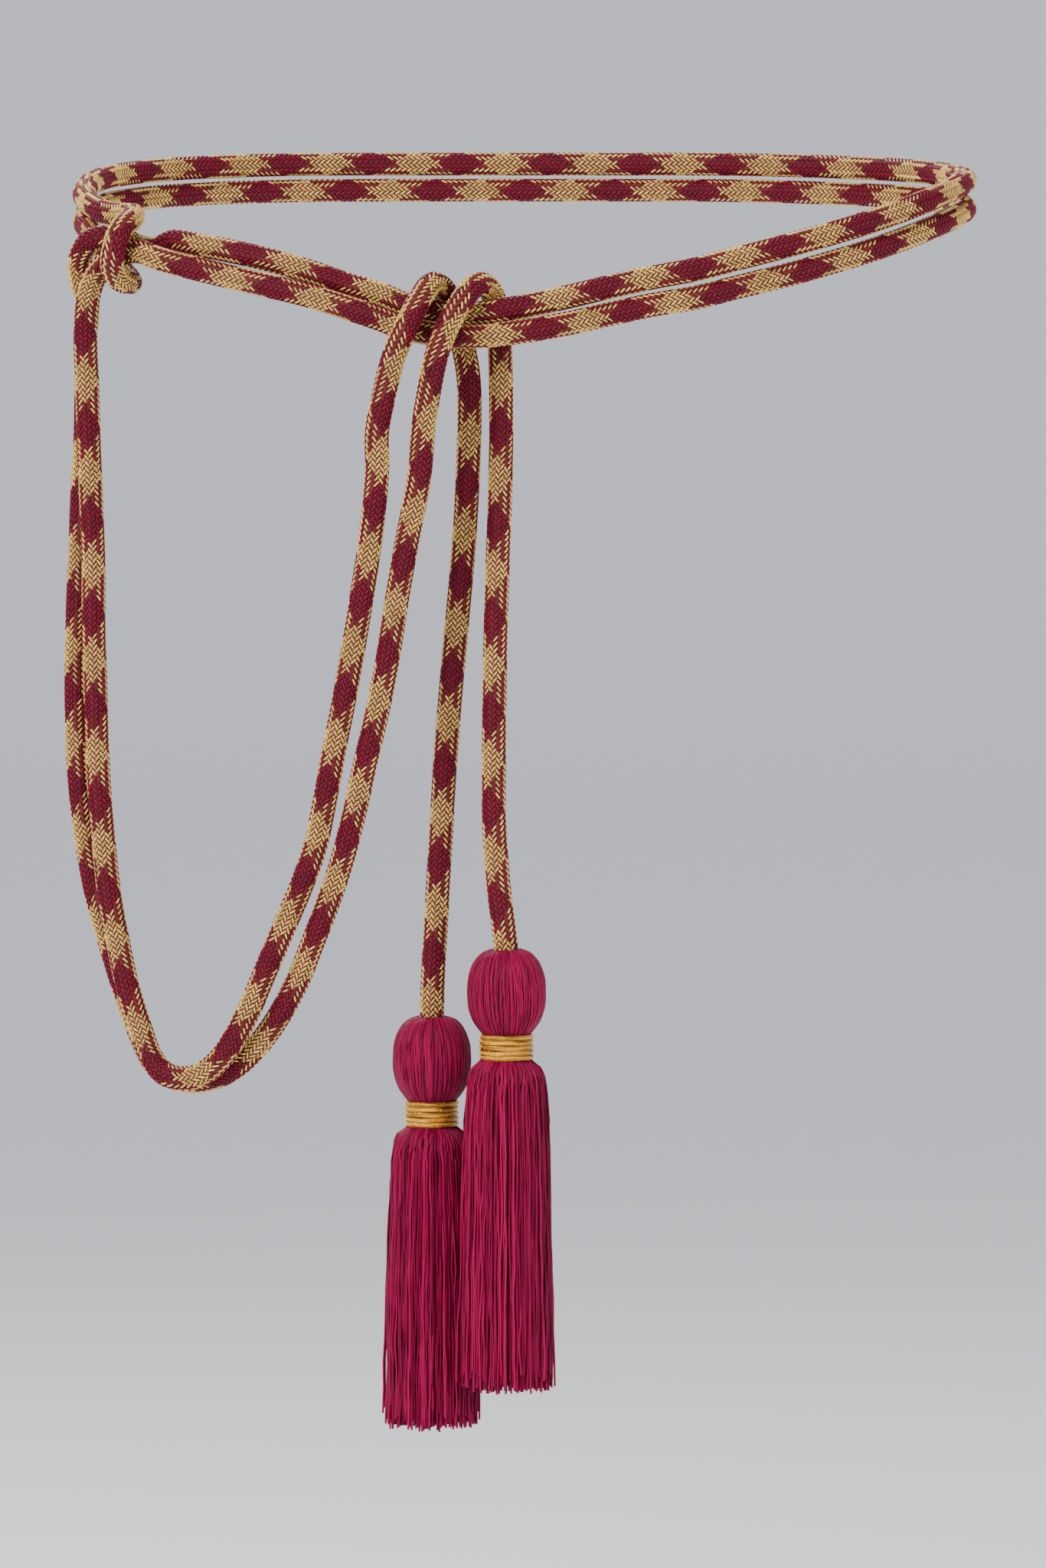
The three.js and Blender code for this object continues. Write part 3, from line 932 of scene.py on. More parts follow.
def new_group(name, inputs, outputs):
    """A shader group, the function that gives its inputs, and its outputs."""
    group = bpy.data.node_groups.new(name, "ShaderNodeTree")
    for label, kind, default in inputs:
        socket = group.interface.new_socket(label, in_out="INPUT", socket_type=f"NodeSocket{kind}")
        if default is not None:
            socket.default_value = default
    for label, kind in outputs:
        group.interface.new_socket(label, in_out="OUTPUT", socket_type=f"NodeSocket{kind}")
    return group, group_inputs(group), group.nodes.new("NodeGroupOutput").inputs


def dye_and_painted_glints():
    """Uneven dye and painted glints: colour that drifts along the piece and differs from one yarn
    to the next, where on the bindings the yarn value holds painted glints and painted shade.
    """
    if "Dye and painted glints" in bpy.data.node_groups:
        return bpy.data.node_groups["Dye and painted glints"]
    group, given, result = new_group(
        "Dye and painted glints",
        [
            ("Color", "Color", (0.5, 0.5, 0.5, 1)),
            ("Position", "Vector", None),
            ("Yarn", "Float", 0.5),
            ("Drift Scale", "Float", 40.0),
            ("Drift", "Float", 0.12),
            ("Difference", "Float", 0.2),
        ],
        [("Color", "Color"), ("Roughness Shift", "Float")],
    )
    cloud = noise(group, given("Position"), given("Drift Scale"), detail=3.0)[0]
    own = (given("Yarn") - 0.5) * given("Difference")
    brightness = (cloud - 0.5) * given("Drift") + own + 1.0
    toned(group, given("Color"), brightness).to(result["Color"])
    (own * 0.5).to(result["Roughness Shift"])
    return group


def fibre_lines():
    """Fine fibres that run along a yarn, as a height."""
    if "Fibre lines" in bpy.data.node_groups:
        return bpy.data.node_groups["Fibre lines"]
    group, given, result = new_group(
        "Fibre lines",
        [
            ("Round", "Float", 0.0),
            ("Along", "Float", 0.0),
            ("Fibres", "Float", 12.0),
            ("Twist", "Float", 1.0),
            ("Unevenness", "Float", 0.5),
        ],
        [("Height", "Float")],
    )
    place = (given("Along") * given("Twist") + given("Round")) * given("Fibres")
    rough = noise(group, joined(group, place, given("Along")), scale=2.0)[0]
    rough = rough * given("Unevenness")
    ((place * math.tau).maths("SINE") * 0.5 + rough).to(result["Height"])
    return group


def new_material(name, colour_value, roughness, metallic=0.0, specular=0.5):
    """A material with its shader, and the tree to add to."""
    material = bpy.data.materials.new(name)
    material.use_nodes = True
    material.diffuse_color = (*colour_value, 1)
    shader = material.node_tree.nodes["Principled BSDF"]
    for label, value in (
        ("Base Color", (*colour_value, 1)), ("Roughness", roughness), ("Metallic", metallic),
        ("Specular IOR Level", specular),
    ):
        shader.inputs[label].default_value = value
    return material, material.node_tree, shader


def attribute(tree, name, output="Fac"):
    """A value stored on the mesh."""
    return Value(add(tree, "ShaderNodeAttribute", attribute_name=name).outputs[output])


def object_place(tree):
    """The place on the object."""
    return Value(add(tree, "ShaderNodeTexCoord").outputs["Object"])


def own_map(tree):
    """The values of the piece's own map."""
    return made(tree, "ShaderNodeUVMap", uv_map="UVMap").parts()


def toned(tree, colour_value, brightness):
    """A colour made brighter or darker."""
    return made(tree, "ShaderNodeHueSaturation", {"Color": colour_value, "Value": brightness})


def mixed(tree, factor, first, second):
    """A colour between two."""
    inputs = {"Factor": factor, "A": (*first, 1), "B": (*second, 1)}
    return made(tree, "ShaderNodeMix", inputs, data_type="RGBA")


def bumped(tree, shader, height, strength, distance):
    """Puts a relief into a material's surface."""
    inputs = {"Height": height, "Strength": strength, "Distance": distance}
    made(tree, "ShaderNodeBump", inputs).to(shader.inputs["Normal"])


def shaded(tree, shader, colour_value, roughness, settings):
    """Puts the uneven dye, with the painted glints and painted shade that a binding's yarn value
    carries, into a material, and gives its colour.
    """
    inputs = {"Color": (*colour_value, 1), **settings}
    dye = add(tree, "ShaderNodeGroup", node_tree=dye_and_painted_glints())
    for key, value in inputs.items():
        dye.inputs[key].default_value = value
    object_place(tree).to(dye.inputs["Position"])
    attribute(tree, "yarn").to(dye.inputs["Yarn"])
    (Value(dye.outputs["Roughness Shift"]) + roughness).to(shader.inputs["Roughness"])
    return Value(dye.outputs["Color"])


def braid_material(name, colour_value, roughness, metallic):
    """Yarn of the braid: glossy filament laid side by side."""
    material, tree, shader = new_material(name, colour_value, roughness, metallic, specular=0.25)
    dye = {"Drift Scale": 55.0, "Drift": 0.35, "Difference": 0.45}
    shaded(tree, shader, colour_value, roughness, dye).to(shader.inputs["Base Color"])
    lines = add(tree, "ShaderNodeGroup", node_tree=fibre_lines())
    across, along, _ = own_map(tree)
    across.to(lines.inputs["Round"])
    along.to(lines.inputs["Along"])
    lines.inputs["Fibres"].default_value = 9.0
    lines.inputs["Twist"].default_value = 0.12
    bumped(tree, shader, Value(lines.outputs["Height"]), strength=0.6, distance=0.00012)
    return material


def crossing_yarns(tree, carriers):
    """Whether the yarn below a crossing is burgundy: 1, or 0 where it is gold.

    The map's first value counts crossings round the cord, and its second along it.
    """
    around, along, _ = own_map(tree)
    right, left = (
        (((line * 0.5 + 0.5).maths("FLOOR")) % carriers).maths("LESS_THAN", carriers / 2)
        for line in (around - along, around + along)
    )
    right_on_top = ((around + 0.5) % 4).maths("LESS_THAN", 2)
    return right_on_top * (left - right) + right


def braid_core_material(gold, burgundy, carriers):
    """The yarns that lie below the crossings, each in its own colour, darkened with painted shade.
    """
    material, tree, shader = new_material("Yarns below", burgundy, 0.7, specular=0.3)
    tint = mixed(tree, crossing_yarns(tree, carriers), gold, burgundy)
    grain = noise(tree, object_place(tree), GRAIN_SCALE)[0]
    toned(tree, tint, grain + 0.5).to(shader.inputs["Base Color"])
    bumped(tree, shader, grain, strength=0.5, distance=0.0002)
    return material


def filling_material(crimson):
    """The yarn inside a tassel's head, darkened as painted shade."""
    # The crimson is darkened as painted shade inside the head
    shade = [v * FILLING_PAINTED_SHADE for v in crimson]
    material, tree, shader = new_material("Tassel filling", shade, 0.8)
    shader.inputs["Sheen Weight"].default_value = 0.2
    grain = noise(tree, object_place(tree), GRAIN_SCALE)[0]
    mixed(tree, grain, [v / 2 for v in shade], shade).to(shader.inputs["Base Color"])
    bumped(tree, shader, grain, strength=0.4, distance=0.0002)
    return material


def thread_material(name, colour_value, roughness, metallic, specular, difference):
    """Floss: a thread of many fine parallel fibres, with streaks of light and shade."""
    material, tree, shader = new_material(
        name, colour_value, roughness, metallic, specular=specular
    )
    # On the bindings the yarn value and the difference give painted glints and painted shade
    dye = {"Drift Scale": 90.0, "Drift": 0.3, "Difference": difference}
    dye_and_glint_colour = shaded(tree, shader, colour_value, roughness, dye)
    aside = attribute(tree, "round", "Vector").parts()
    along, yarn = attribute(tree, "along"), attribute(tree, "yarn")
    streaks = noise(tree, joined(
        tree, aside[0] * STREAKS_ROUND, aside[1] * STREAKS_ROUND,
        along * STREAKS_ALONG + yarn * STREAKS_APART,
    ), detail=3.0)[0]
    # Painted streaks of light and shade on the thread's colour
    brightness = streaks * STREAK_CONTRAST + STREAK_SHADE
    toned(tree, dye_and_glint_colour, brightness).to(shader.inputs["Base Color"])
    crimp = (along * (math.tau / CRIMP_LENGTH) + yarn * CRIMPS_APART).maths("SINE")
    bumped(tree, shader, crimp * CRIMP_RELIEF + streaks, strength=0.9, distance=0.00025)
    return material


def tassel_material():
    """Glossy crimson thread, made once."""
    return bpy.data.materials.get("Crimson thread") or thread_material(
        "Crimson thread", bpy.context.scene.cincture_tassel.crimson, roughness=0.45,
        metallic=0.0, specular=0.15, difference=0.9,
    )


# Geometry trees


def braid_tree():
    """Half of the braid's yarns that wind one way, as short stitches laid along the route.

    The guide mesh has one point for each crossing along the cord. A stitch lies flat first, with
    X along the cord, Y round it and Z out of it, and is then wrapped round the guide.
    """
    tree, given, end = new_tree("Braid of one hand", {
        "Int": ("Rows", "Carriers", "Hand", "Burgundy", "Seed"),
        "Float": ("Crossing Length", "Crossing Width", "Radius", "Yarn Thickness"),
    })
    hand, thickness, radius = given("Hand"), given("Yarn Thickness"), given("Radius")
    length, width = given("Crossing Length"), given("Crossing Width")
    half = given("Carriers") / 2
    dots = made(tree, "GeometryNodePoints", {"Count": given("Rows") * half})
    index = made(tree, "GeometryNodeInputIndex")
    column = index % half
    row = ((index + 0.5) / half).maths("FLOOR")

    # Each stitch crosses two yarns: its middle in crossings round and along the cord
    left = (1 - hand) * 0.5
    around = column * 4 + (left * 2 + 0.5)
    along = row * 2 + 0.5 + left
    carrier = ((around - hand * along) * 0.5) % given("Carriers")
    kept = carrier.maths("LESS_THAN", half).maths("COMPARE", given("Burgundy"), 0.5)

    # The stitch: a pointed, bowed grain that dips under its neighbours at both ends
    slant = width.maths("ARCTAN2", length)
    half_length = joined(tree, length, width).maths("LENGTH") * STITCH_REACH
    pitch = width * slant.maths("COSINE")
    wider = BURGUNDY_STITCH_WIDTH - GOLD_STITCH_WIDTH
    half_width = pitch * (given("Burgundy") * wider + GOLD_STITCH_WIDTH)
    grain = add(tree, "GeometryNodeMeshUVSphere", {"Segments": 5, "Rings": 3, "Radius": 1.0})
    surface, surface_map = (Value(s) for s in grain.outputs)
    shape = made(tree, "GeometryNodeTransform", {
        "Geometry": stored(tree, surface, "UVMap", surface_map, "FLOAT2", "CORNER"),
        "Rotation": (0, math.pi / 2, 0),
        "Scale": joined(tree, thickness * 0.5, half_width, half_length),
    })
    place = made(tree, "GeometryNodeInputPosition")
    here, across, out = place.parts()
    dip = (here / half_length) ** 2 * thickness * -STITCH_DIP
    shape = moved(tree, shape, Offset=joined(tree, 0, 0, dip))
    flat = joined(tree, along * length, (around - (half - 0.5)) * width)
    dots = moved(tree, dots, Position=flat)
    laid = placed(tree, dots, shape, Selection=kept, Rotation=turned(tree, slant * hand))
    laid = stored(tree, laid, "yarn", jitter(tree, 0.0, 1.0, given("Seed")), domain="INSTANCE")
    laid = real(tree, laid)

    # Wrapped round the guide
    step = here / length
    below = step.maths("FLOOR")

    def blended(value):
        ends = [
            made(tree, "GeometryNodeSampleIndex", {
                "Geometry": given("Geometry"), "Value": value, "Index": at,
            }, data_type="FLOAT_VECTOR", clamp=True)
            for at in (below, below + 1)
        ]
        inputs = {"Factor": step - below, "A": ends[0], "B": ends[1]}
        return made(tree, "ShaderNodeMix", inputs, data_type="VECTOR")

    angle = across / radius
    facing = blended(named(tree, "facing", "FLOAT_VECTOR")) * angle.maths("COSINE")
    aside = blended(named(tree, "aside", "FLOAT_VECTOR")) * angle.maths("SINE")
    wrapped = moved(tree, laid, Position=blended(place) + (facing + aside) * (out + radius))
    return finished(tree, wrapped, given("Material"), end)


def turned(tree, angle):
    """A turn round Z."""
    return made(tree, "FunctionNodeEulerToRotation", {0: joined(tree, 0, 0, angle)})


def thread_mesh(tree, lines, thread, sides, **inputs):
    """Round threads with closed ends along the lines, which keep the way round of each point."""
    ring = made(tree, "GeometryNodeCurvePrimitiveCircle", {
        "Resolution": sides, "Radius": thread * 0.5,
    })
    way = made(tree, "GeometryNodeInputPosition").maths("NORMALIZE")
    ring = stored(tree, ring, "round", way, "FLOAT_VECTOR")
    inputs = {"Curve": lines, "Profile Curve": ring, "Fill Caps": True, **inputs}
    return made(tree, "GeometryNodeCurveToMesh", inputs)


def settled(value, scale):
    """0 at the start, and nearer and nearer to 1 as the value passes the scale."""
    return 1 - (value / scale * -1).maths("EXPONENT")


def skirt_tree():
    """Threads that leave the neck, swell out over the shoulder and hang with ragged ends."""
    tree, given, end = new_tree("Hanging threads", {
        "Int": ("Threads", "Stations", "Sides", "Seed"),
        "Float": (
            "Inner Share", "Outer Share", "Neck Radius", "Skirt Radius", "Shoulder", "Hidden",
            "Length", "Raggedness", "Wave", "Thread",
        ),
        "Vector": ("Place",),
    })
    seed, hidden, neck = given("Seed"), given("Hidden"), given("Neck Radius")
    dots = made(tree, "GeometryNodePoints", {"Count": given("Threads")})
    index = made(tree, "GeometryNodeInputIndex")
    order = (index + 0.5) / given("Threads")
    inner, outer = (given(n) ** 2 for n in ("Inner Share", "Outer Share"))
    angle = index * GOLDEN_ANGLE + jitter(tree, -SKIRT_JITTER, SKIRT_JITTER, seed)
    dots = stored(tree, dots, "angle", angle)
    dots = stored(tree, dots, "share", ((outer - inner) * order + inner).maths("SQRT"))
    dots = stored(tree, dots, "yarn", jitter(tree, 0.0, 1.0, seed + 1))
    dots = stored(tree, dots, "cut", jitter(tree, 0.0, 1.0, seed + 2))
    line = made(tree, "GeometryNodeCurvePrimitiveLine", {"End": (0, 0, -1)})
    line = made(tree, "GeometryNodeResampleCurve", {"Curve": line, "Count": given("Stations")})
    hung = real(tree, placed(tree, dots, line))

    # How far along its thread each point is, how far down it hangs and how far out it is
    down = made(tree, "GeometryNodeInputPosition").parts()[2] * -1
    length = given("Length") * (1 - named(tree, "cut") * given("Raggedness"))
    near = (down / SHOULDER_STATIONS).maths("MINIMUM", 1)
    far = (down - SHOULDER_STATIONS).maths("MAXIMUM", 0) / (1 - SHOULDER_STATIONS)
    fall = near * (hidden + SHOULDER_DROP) + far * (length - SHOULDER_DROP)
    shown = (fall - hidden).maths("MAXIMUM", 0)
    shoulder = given("Shoulder")
    swell = settled(shown, shoulder) * SHOULDER_SHARE
    swell = settled(shown, shoulder * SLOW_SWELL) * (1 - SHOULDER_SHARE) + swell
    radius = ((given("Skirt Radius") - neck) * swell + neck) * named(tree, "share")
    stray = named(tree, "yarn") ** STRAY_RARITY * (down * STRAY_SHARE)
    radius = radius * (stray * down + down ** FLARE_POWER * SKIRT_FLARE + 1)

    # The threads gather in locks, and each sways a little of its own
    turn = named(tree, "angle")
    for locks, drift, strength in SKIRT_LOCKS:
        turn = (turn * locks + down * drift).maths("SINE") * (swell * strength) + turn
    sway = noise(tree, joined(
        tree, named(tree, "yarn") * SWAYS_APART, down * SKIRT_SWAYS,
        named(tree, "cut") * CUTS_APART,
    ))[1]
    sway = (sway - HALVES) * (given("Wave") * swell)
    way = joined(tree, turn.maths("COSINE"), turn.maths("SINE"))
    spot = way * radius + sway + joined(tree, 0, 0, hidden - fall)
    hung = moved(tree, hung, Position=spot + given("Place"))
    hung = stored(tree, hung, "along", named(tree, "yarn") * PATTERN_SHIFT + fall)
    threads = thread_mesh(tree, hung, given("Thread"), given("Sides"))
    return finished(tree, threads, given("Material"), end)


def head_tree():
    """Threads drawn side by side from the cord over the head and down to the neck."""
    tree, given, end = new_tree("Threads over the head", {
        "Int": ("Threads", "Seed"),
        "Float": ("Thread", "Wave"),
        "Vector": ("Place",),
    })
    threads, seed = given("Threads"), given("Seed")
    outline = made(tree, "GeometryNodeMeshToCurve", {"Mesh": given("Geometry")})
    outline = made(tree, "GeometryNodeResampleCurve", {"Curve": outline, "Count": 24})
    dots = made(tree, "GeometryNodePoints", {"Count": threads})
    dots = stored(tree, dots, "yarn", jitter(tree, 0.0, 1.0, seed + 1))
    turn = made(tree, "GeometryNodeInputIndex") * math.tau / threads
    turn = turn + jitter(tree, -HEAD_JITTER, HEAD_JITTER, seed)
    drawn = real(tree, placed(tree, dots, outline, Rotation=turned(tree, turn)))
    parameter = add(tree, "GeometryNodeSplineParameter").outputs
    share, along = Value(parameter["Factor"]), Value(parameter["Length"])
    drawn = stored(tree, drawn, "along", named(tree, "yarn") * PATTERN_SHIFT + along)

    # Each thread slants a little of its own, and all crowd together where the head is narrow
    place = made(tree, "GeometryNodeInputPosition")
    slant = (named(tree, "yarn") - 0.5) * HEAD_SLANT * (share - SLANT_CENTRE)
    inputs = {"Vector": place, "Angle": slant}
    leaning = made(tree, "ShaderNodeVectorRotate", inputs, rotation_type="Z_AXIS")
    drawn = moved(tree, drawn, Position=leaning)
    x, y, _ = place.parts()
    room = joined(tree, x, y).maths("LENGTH") * math.tau / threads / given("Thread")
    width = (room + EXTRA_WIDTH).maths("MINIMUM", MOST_WIDTH)
    drawn = made(tree, "GeometryNodeSetCurveRadius", {"Curve": drawn, "Radius": width})
    sway = noise(tree, joined(tree, named(tree, "yarn") * SWAYS_APART, share * HEAD_SWAYS))[1]
    drawn = moved(tree, drawn, Offset=(sway - HALVES) * given("Wave"))
    drawn = moved(tree, drawn, Offset=given("Place"))
    radius = made(tree, "GeometryNodeInputRadius")
    mesh = thread_mesh(tree, drawn, given("Thread"), 6, Scale=radius)
    return finished(tree, mesh, given("Material"), end)


def winding_tree():
    """Gold thread wound round and round the neck."""
    tree, given, end = new_tree("Wound thread", {
        "Int": ("Turns",),
        "Float": ("Radius", "Thread", "Height", "Wave", "Bulge"),
        "Vector": ("Place",),
    })
    coil = made(tree, "GeometryNodeCurveSpiral", {
        "Resolution": 48, "Rotations": given("Turns"), "Start Radius": given("Radius"),
        "End Radius": given("Radius"), "Height": given("Height") - given("Thread"),
    })
    place = made(tree, "GeometryNodeInputPosition")
    sway = noise(tree, place, scale=130.0, detail=1.0)[1]
    coil = moved(tree, coil, Offset=(sway - HALVES) * given("Wave"))
    parameter = add(tree, "GeometryNodeSplineParameter").outputs
    share, along = Value(parameter["Factor"]), Value(parameter["Length"])
    raised = (share * (math.pi * BINDING_BANDS)).maths("SINE").maths("ABSOLUTE")
    outward = place.maths("MULTIPLY", (1, 1, 0)).maths("NORMALIZE")
    coil = moved(tree, coil, Offset=outward * (raised * given("Bulge")))
    coil = moved(tree, coil, Offset=given("Place"))
    coil = stored(tree, coil, "along", along)
    # Painted glints along the thread, and painted shade in the valleys between the raised bands,
    # stored as the yarn value that lightens or darkens its colour
    glint = noise(tree, joined(tree, along * GLINTS))[0] * GLINT_CONTRAST - GLINT_DEPTH
    coil = stored(tree, coil, "yarn", glint + raised * 0.5)
    return finished(tree, thread_mesh(tree, coil, given("Thread"), 7), given("Material"), end)


# Pieces


def ridden(piece):
    """A finished piece, which goes with the cord's body."""
    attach(piece, BODY)
    return piece


def crossing_rows(values):
    """The braid's middle, facing and side at each crossing along the cord."""
    step = values.lead / (2 * values.carriers)
    pairs = math.floor(ROUTE.length / step / 2)
    return [ROUTE.at(k * step) for k in range(2 * pairs + 1)]


class Piece:
    """What the operators share."""

    bl_options = {"REGISTER", "UNDO"}


class CINCTURE_OT_stage(Piece, bpy.types.Operator):
    """Make the pale floor and wall, the soft lights and the camera"""

    bl_idname = "cincture.stage"
    bl_label = "Stage"

    def execute(self, context):
        values = context.scene.cincture_stage
        low, high = (Vector(v) for v in CAD_BOUNDS)
        self.camera(context, values)
        self.bowl(values)
        for name, place, width, share in LIGHTS:
            self.light(name, Vector(place), width, values.light * share, (low + high) / 2)
        world = bpy.data.worlds.new("Soft daylight")
        world.use_nodes = True
        sky = world.node_tree.nodes["Background"]
        sky.inputs["Color"].default_value = (0.80, 0.83, 0.88, 1)
        sky.inputs["Strength"].default_value = 0.84
        context.scene.world = world
        return {"FINISHED"}

    def camera(self, context, values):
        """The camera, level with the waist and aimed at the middle of the object."""
        lens = bpy.data.cameras.new("Camera")
        lens.sensor_fit = "HORIZONTAL"
        lens.sensor_width = 36
        lens.lens = lens.sensor_width * values.camera_distance / values.view_width
        lens.clip_end = 100
        camera = linked_object("Camera", lens)
        camera.location = (CAMERA_SIDE, -values.camera_distance, values.camera_height)
        aim = Vector(CAMERA_AIM) - camera.location
        camera.rotation_euler = aim.to_track_quat("-Z", "Y").to_euler()
        context.scene.camera = camera

    def bowl(self, values):
        """A round floor that curves up into a wall, so that every view has a plain ground."""
        radius, foot = values.bowl_radius, values.floor_height
        rows = [(0.02, foot)]
        for i in range(BOWL_STEPS + 1):
            angle = math.pi / 2 * i / BOWL_STEPS
            rows.append((
                radius - BOWL_BEND * (1 - math.sin(angle)),
                foot + BOWL_BEND * (1 - math.cos(angle)),
            ))
        rows.append((radius, foot + BOWL_WALL))
        material = new_material("Pale ground", values.pale, 0.9, specular=0.2)[0]
        mesh = turned_mesh("studio_bowl", rows, 96, (0, 0), material, ends=(0,))
        linked_object("studio_bowl", mesh)

    def light(self, name, place, width, power, middle):
        """A soft square light aimed at the object."""
        lamp = bpy.data.lights.new(name, "AREA")
        lamp.size = width
        lamp.energy = power
        thing = linked_object(name, lamp)
        thing.location = place
        thing.rotation_euler = (middle - place).to_track_quat("-Z", "Y").to_euler()


class CINCTURE_OT_cord_core(Piece, bpy.types.Operator):
    """Make the cord's core, which the braid is wound on, along the whole route"""

    bl_idname = "cincture.cord_core"
    bl_label = "Cord core"

    def execute(self, context):
        values = context.scene.cincture_cord
        crossings = 2 * values.carriers
        radius = values.diameter / 2 - values.yarn_thickness * CORE_SINK
        sides = 12
        step = crossings / sides
        rows = crossing_rows(values)[::2]
        points = []
        for middle, facing, aside in rows:
            for i in range(sides):
                angle = math.tau * (i * step - values.carriers / 2 + 0.5) / crossings
                way = facing * math.cos(angle) + aside * math.sin(angle)
                points.append(middle + way * radius)
        faces, places = [], []
        for row in range(len(rows) - 1):
            for i in range(sides):
                j = (i + 1) % sides
                low, high = row * sides, (row + 1) * sides
                faces.append((low + i, low + j, high + j, high + i))
                for across, up in ((i, 0), (i + 1, 0), (i + 1, 2), (i, 2)):
                    places += (across * step, 2 * row + up)
        last = (len(rows) - 1) * sides
        faces += [tuple(range(sides))[::-1], tuple(range(last, last + sides))]
        places += (0, 0) * 2 * sides
        mesh = bpy.data.meshes.new("cord_core")
        mesh.from_pydata([tuple(p) for p in points], [], faces)
        mesh.uv_layers.new(name="UVMap").data.foreach_set("uv", places)
        mesh.shade_smooth()
        gold, burgundy = Vector(values.gold), Vector(values.burgundy)
        # The yarns below the crossings are darkened here as painted shade between the stitches
        below = [tuple(c * CORE_PAINTED_SHADE) for c in (gold.lerp(burgundy, 0.85), burgundy)]
        mesh.materials.append(braid_core_material(*below, values.carriers))
        core = ridden(linked_object("cord_core", mesh))
        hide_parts("cord")
        return {"FINISHED"}


class CINCTURE_OT_braid(Piece, bpy.types.Operator):
    """Make the braid: gold and burgundy yarns that wind both ways round the core"""

    bl_idname = "cincture.braid"
    bl_label = "Braid"

    def execute(self, context):
        values = context.scene.cincture_cord
        crossings = 2 * values.carriers
        middle = (values.diameter - values.yarn_thickness) / 2
        rows = crossing_rows(values)
        places, facings, asides = zip(*rows)
        tree = braid_tree()
        looks = (
            ("gold", 0, braid_material("Gold yarn", values.gold, roughness=0.34, metallic=0.45)),
            ("burgundy", 1, braid_material(
                "Burgundy yarn", values.burgundy, roughness=0.46, metallic=0.0
            )),
        )
        for tint, burgundy, material in looks:
            for way, hand in (("right", 1), ("left", -1)):
                name = f"braid_{tint}_{way}"
                guide = line_mesh(name, places, {"facing": facings, "aside": asides})
                piece = grown(name, guide, tree, {
                    "Rows": len(rows) // 2 - 1, "Carriers": values.carriers,
                    "Hand": hand, "Burgundy": burgundy,
                    "Crossing Length": values.lead / crossings,
                    "Crossing Width": math.tau * middle / crossings,
                    "Radius": middle, "Yarn Thickness": values.yarn_thickness,
                    "Seed": 3 + burgundy * 2 + (hand > 0), "Material": material,
                })
                ridden(piece)
        return {"FINISHED"}


class CINCTURE_OT_heads(Piece, bpy.types.Operator):
    """Make the tassels' round heads: a filling and the threads drawn over it"""

    bl_idname = "cincture.heads"
    bl_label = "Tassel heads"

    def execute(self, context):
        values = context.scene.cincture_tassel
        tree = head_tree()
        filling_look = filling_material(values.crimson)
        inset = values.thread / 2
        for number, (side, tassel) in enumerate(TASSELS.items()):
            place = tassel.top
            profile = [
                Vector((values.head_radius * wide - inset, 0, -tassel.binding_top * down))
                for down, wide in HEAD_PROFILE
            ]
            filling = [(max(p.x - inset, 0.001), p.z + place.z) for p in reversed(profile)]
            neck = values.neck_radius - inset
            rows = [
                (TIP_RADIUS, place.z - tassel.length * FILLING_TIP),
                (neck, place.z - tassel.length * FILLING_FOOT),
                (neck, filling[0][1]),
                *filling[1:],
                (TIP_RADIUS, place.z - 2 * TIP_RADIUS),
            ]
            name = f"head_filling_{side}"
            mesh = turned_mesh(name, rows, 48, place, filling_look, ends=(0, -1))
            core = ridden(linked_object(name, mesh))
            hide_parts(f"tassel_{side}")
            name = f"head_threads_{side}"
            ridden(grown(name, line_mesh(name, smooth_line(profile, 4)), tree, {
                "Threads": values.head_threads, "Thread": values.thread, "Place": place,
                "Wave": 0.0009, "Seed": 11 + number, "Material": tassel_material(),
            }))
        return {"FINISHED"}


class CINCTURE_OT_skirts(Piece, bpy.types.Operator):
    """Make the hanging threads of both tassels"""

    bl_idname = "cincture.skirts"
    bl_label = "Tassel skirts"

    def execute(self, context):
        values = context.scene.cincture_tassel
        tree = skirt_tree()
        shared = {
            "Neck Radius": values.neck_radius - values.thread / 2,
            "Skirt Radius": values.skirt_radius - values.thread / 2,
            "Shoulder": values.shoulder, "Hidden": HIDDEN_THREAD, "Thread": values.thread,
            "Raggedness": 0.065, "Material": tassel_material(),
        }
        layers = {
            "skirt_threads": {
                "Threads": values.outer_threads, "Inner Share": FILLED_SHARE, "Outer Share": 1.0,
                "Stations": 18, "Sides": 5, "Wave": 0.0036,
            },
            "skirt_filling": {
                "Threads": values.inner_threads, "Inner Share": 0.0, "Outer Share": FILLED_SHARE,
                "Stations": 9, "Sides": 4, "Wave": 0.0020,
            },
        }
        for number, (side, tassel) in enumerate(TASSELS.items()):
            for layer, own in layers.items():
                name = f"{layer}_{side}"
                ridden(grown(name, bpy.data.meshes.new(name), tree, {
                    **shared, **own, "Length": tassel.length - tassel.binding_foot,
                    "Place": tassel.top - UP * tassel.binding_foot, "Seed": 21 + 7 * number,
                }))
        return {"FINISHED"}


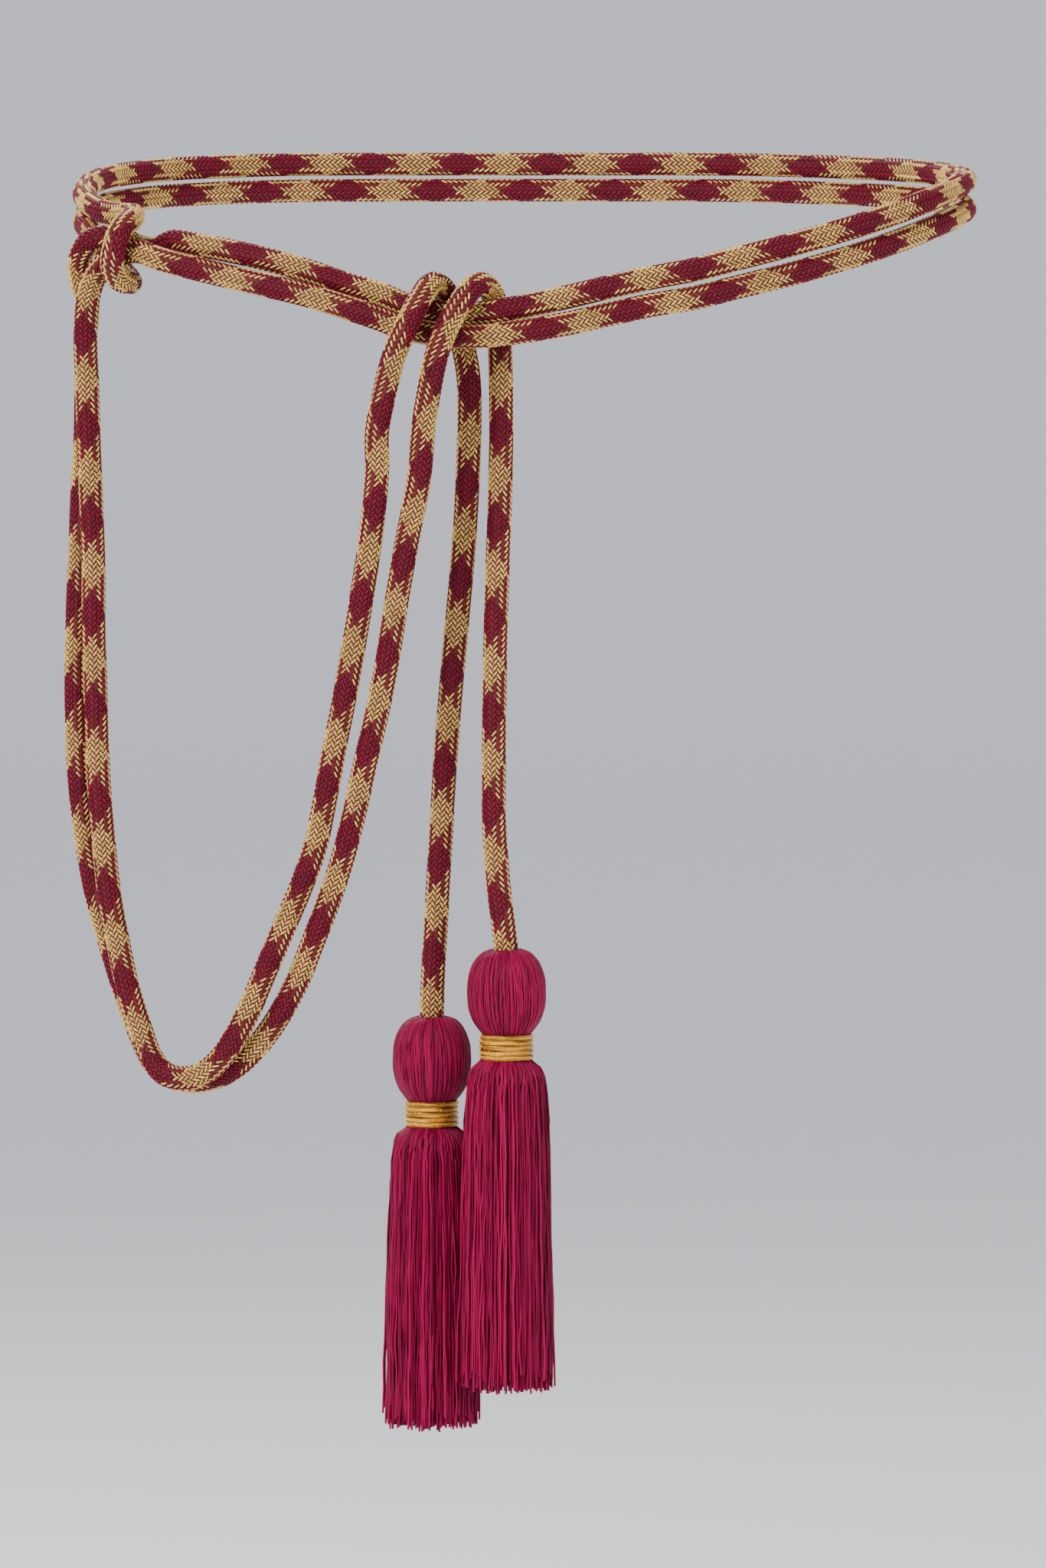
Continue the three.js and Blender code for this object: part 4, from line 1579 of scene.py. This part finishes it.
class CINCTURE_OT_bindings(Piece, bpy.types.Operator):
    """Make the gold thread wound round each tassel's neck"""

    bl_idname = "cincture.bindings"
    bl_label = "Bindings"

    def execute(self, context):
        values = context.scene.cincture_binding
        tree = winding_tree()
        # The yarn value carries painted glints and painted shade, and the difference sets their
        # strength
        look = thread_material(
            "Metallic thread", values.gold, roughness=0.24, metallic=0.85, specular=0.5,
            difference=1.3,
        )
        for side, tassel in TASSELS.items():
            name = f"gold_winding_{side}"
            winding = ridden(grown(name, bpy.data.meshes.new(name), tree, {
                "Turns": values.turns, "Radius": values.radius, "Thread": values.thread,
                "Height": tassel.binding_foot - tassel.binding_top,
                "Place": tassel.top - UP * (tassel.binding_foot - values.thread / 2),
                "Wave": 0.0006, "Bulge": 0.0009, "Material": look,
            }))
            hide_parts(f"binding_{side}")
        return {"FINISHED"}


class CINCTURE_PT_panel(bpy.types.Panel):
    """Settings and pieces of the cincture"""

    bl_idname = "CINCTURE_PT_panel"
    bl_label = "Cincture"
    bl_space_type = "VIEW_3D"
    bl_region_type = "UI"
    bl_category = "Cincture"

    def draw(self, context):
        layout = self.layout
        for name, group in SETTINGS.items():
            box = layout.box()
            box.label(text=group.__doc__.rstrip("."))
            values = getattr(context.scene, name)
            for item in group.__annotations__:
                box.prop(values, item)
        for operator in OPERATORS:
            layout.operator(operator.bl_idname)


SETTINGS = {
    "cincture_cord": CinctureCord,
    "cincture_tassel": CinctureTassel,
    "cincture_binding": CinctureBinding,
    "cincture_stage": CinctureStage,
}
OPERATORS = (
    CINCTURE_OT_stage,
    CINCTURE_OT_cord_core,
    CINCTURE_OT_braid,
    CINCTURE_OT_heads,
    CINCTURE_OT_skirts,
    CINCTURE_OT_bindings,
)
CLASSES = (*SETTINGS.values(), *OPERATORS, CINCTURE_PT_panel)


def register():
    for item in CLASSES:
        bpy.utils.register_class(item)
    for name, group in SETTINGS.items():
        setattr(bpy.types.Scene, name, PointerProperty(type=group))


def unregister():
    for name in SETTINGS:
        delattr(bpy.types.Scene, name)
    for item in reversed(CLASSES):
        bpy.utils.unregister_class(item)


def main():
    register()
    bpy.ops.cincture.stage()
    bpy.ops.cincture.cord_core()
    bpy.ops.cincture.braid()
    bpy.ops.cincture.heads()
    bpy.ops.cincture.skirts()
    bpy.ops.cincture.bindings()


if __name__ == "__main__":
    main()
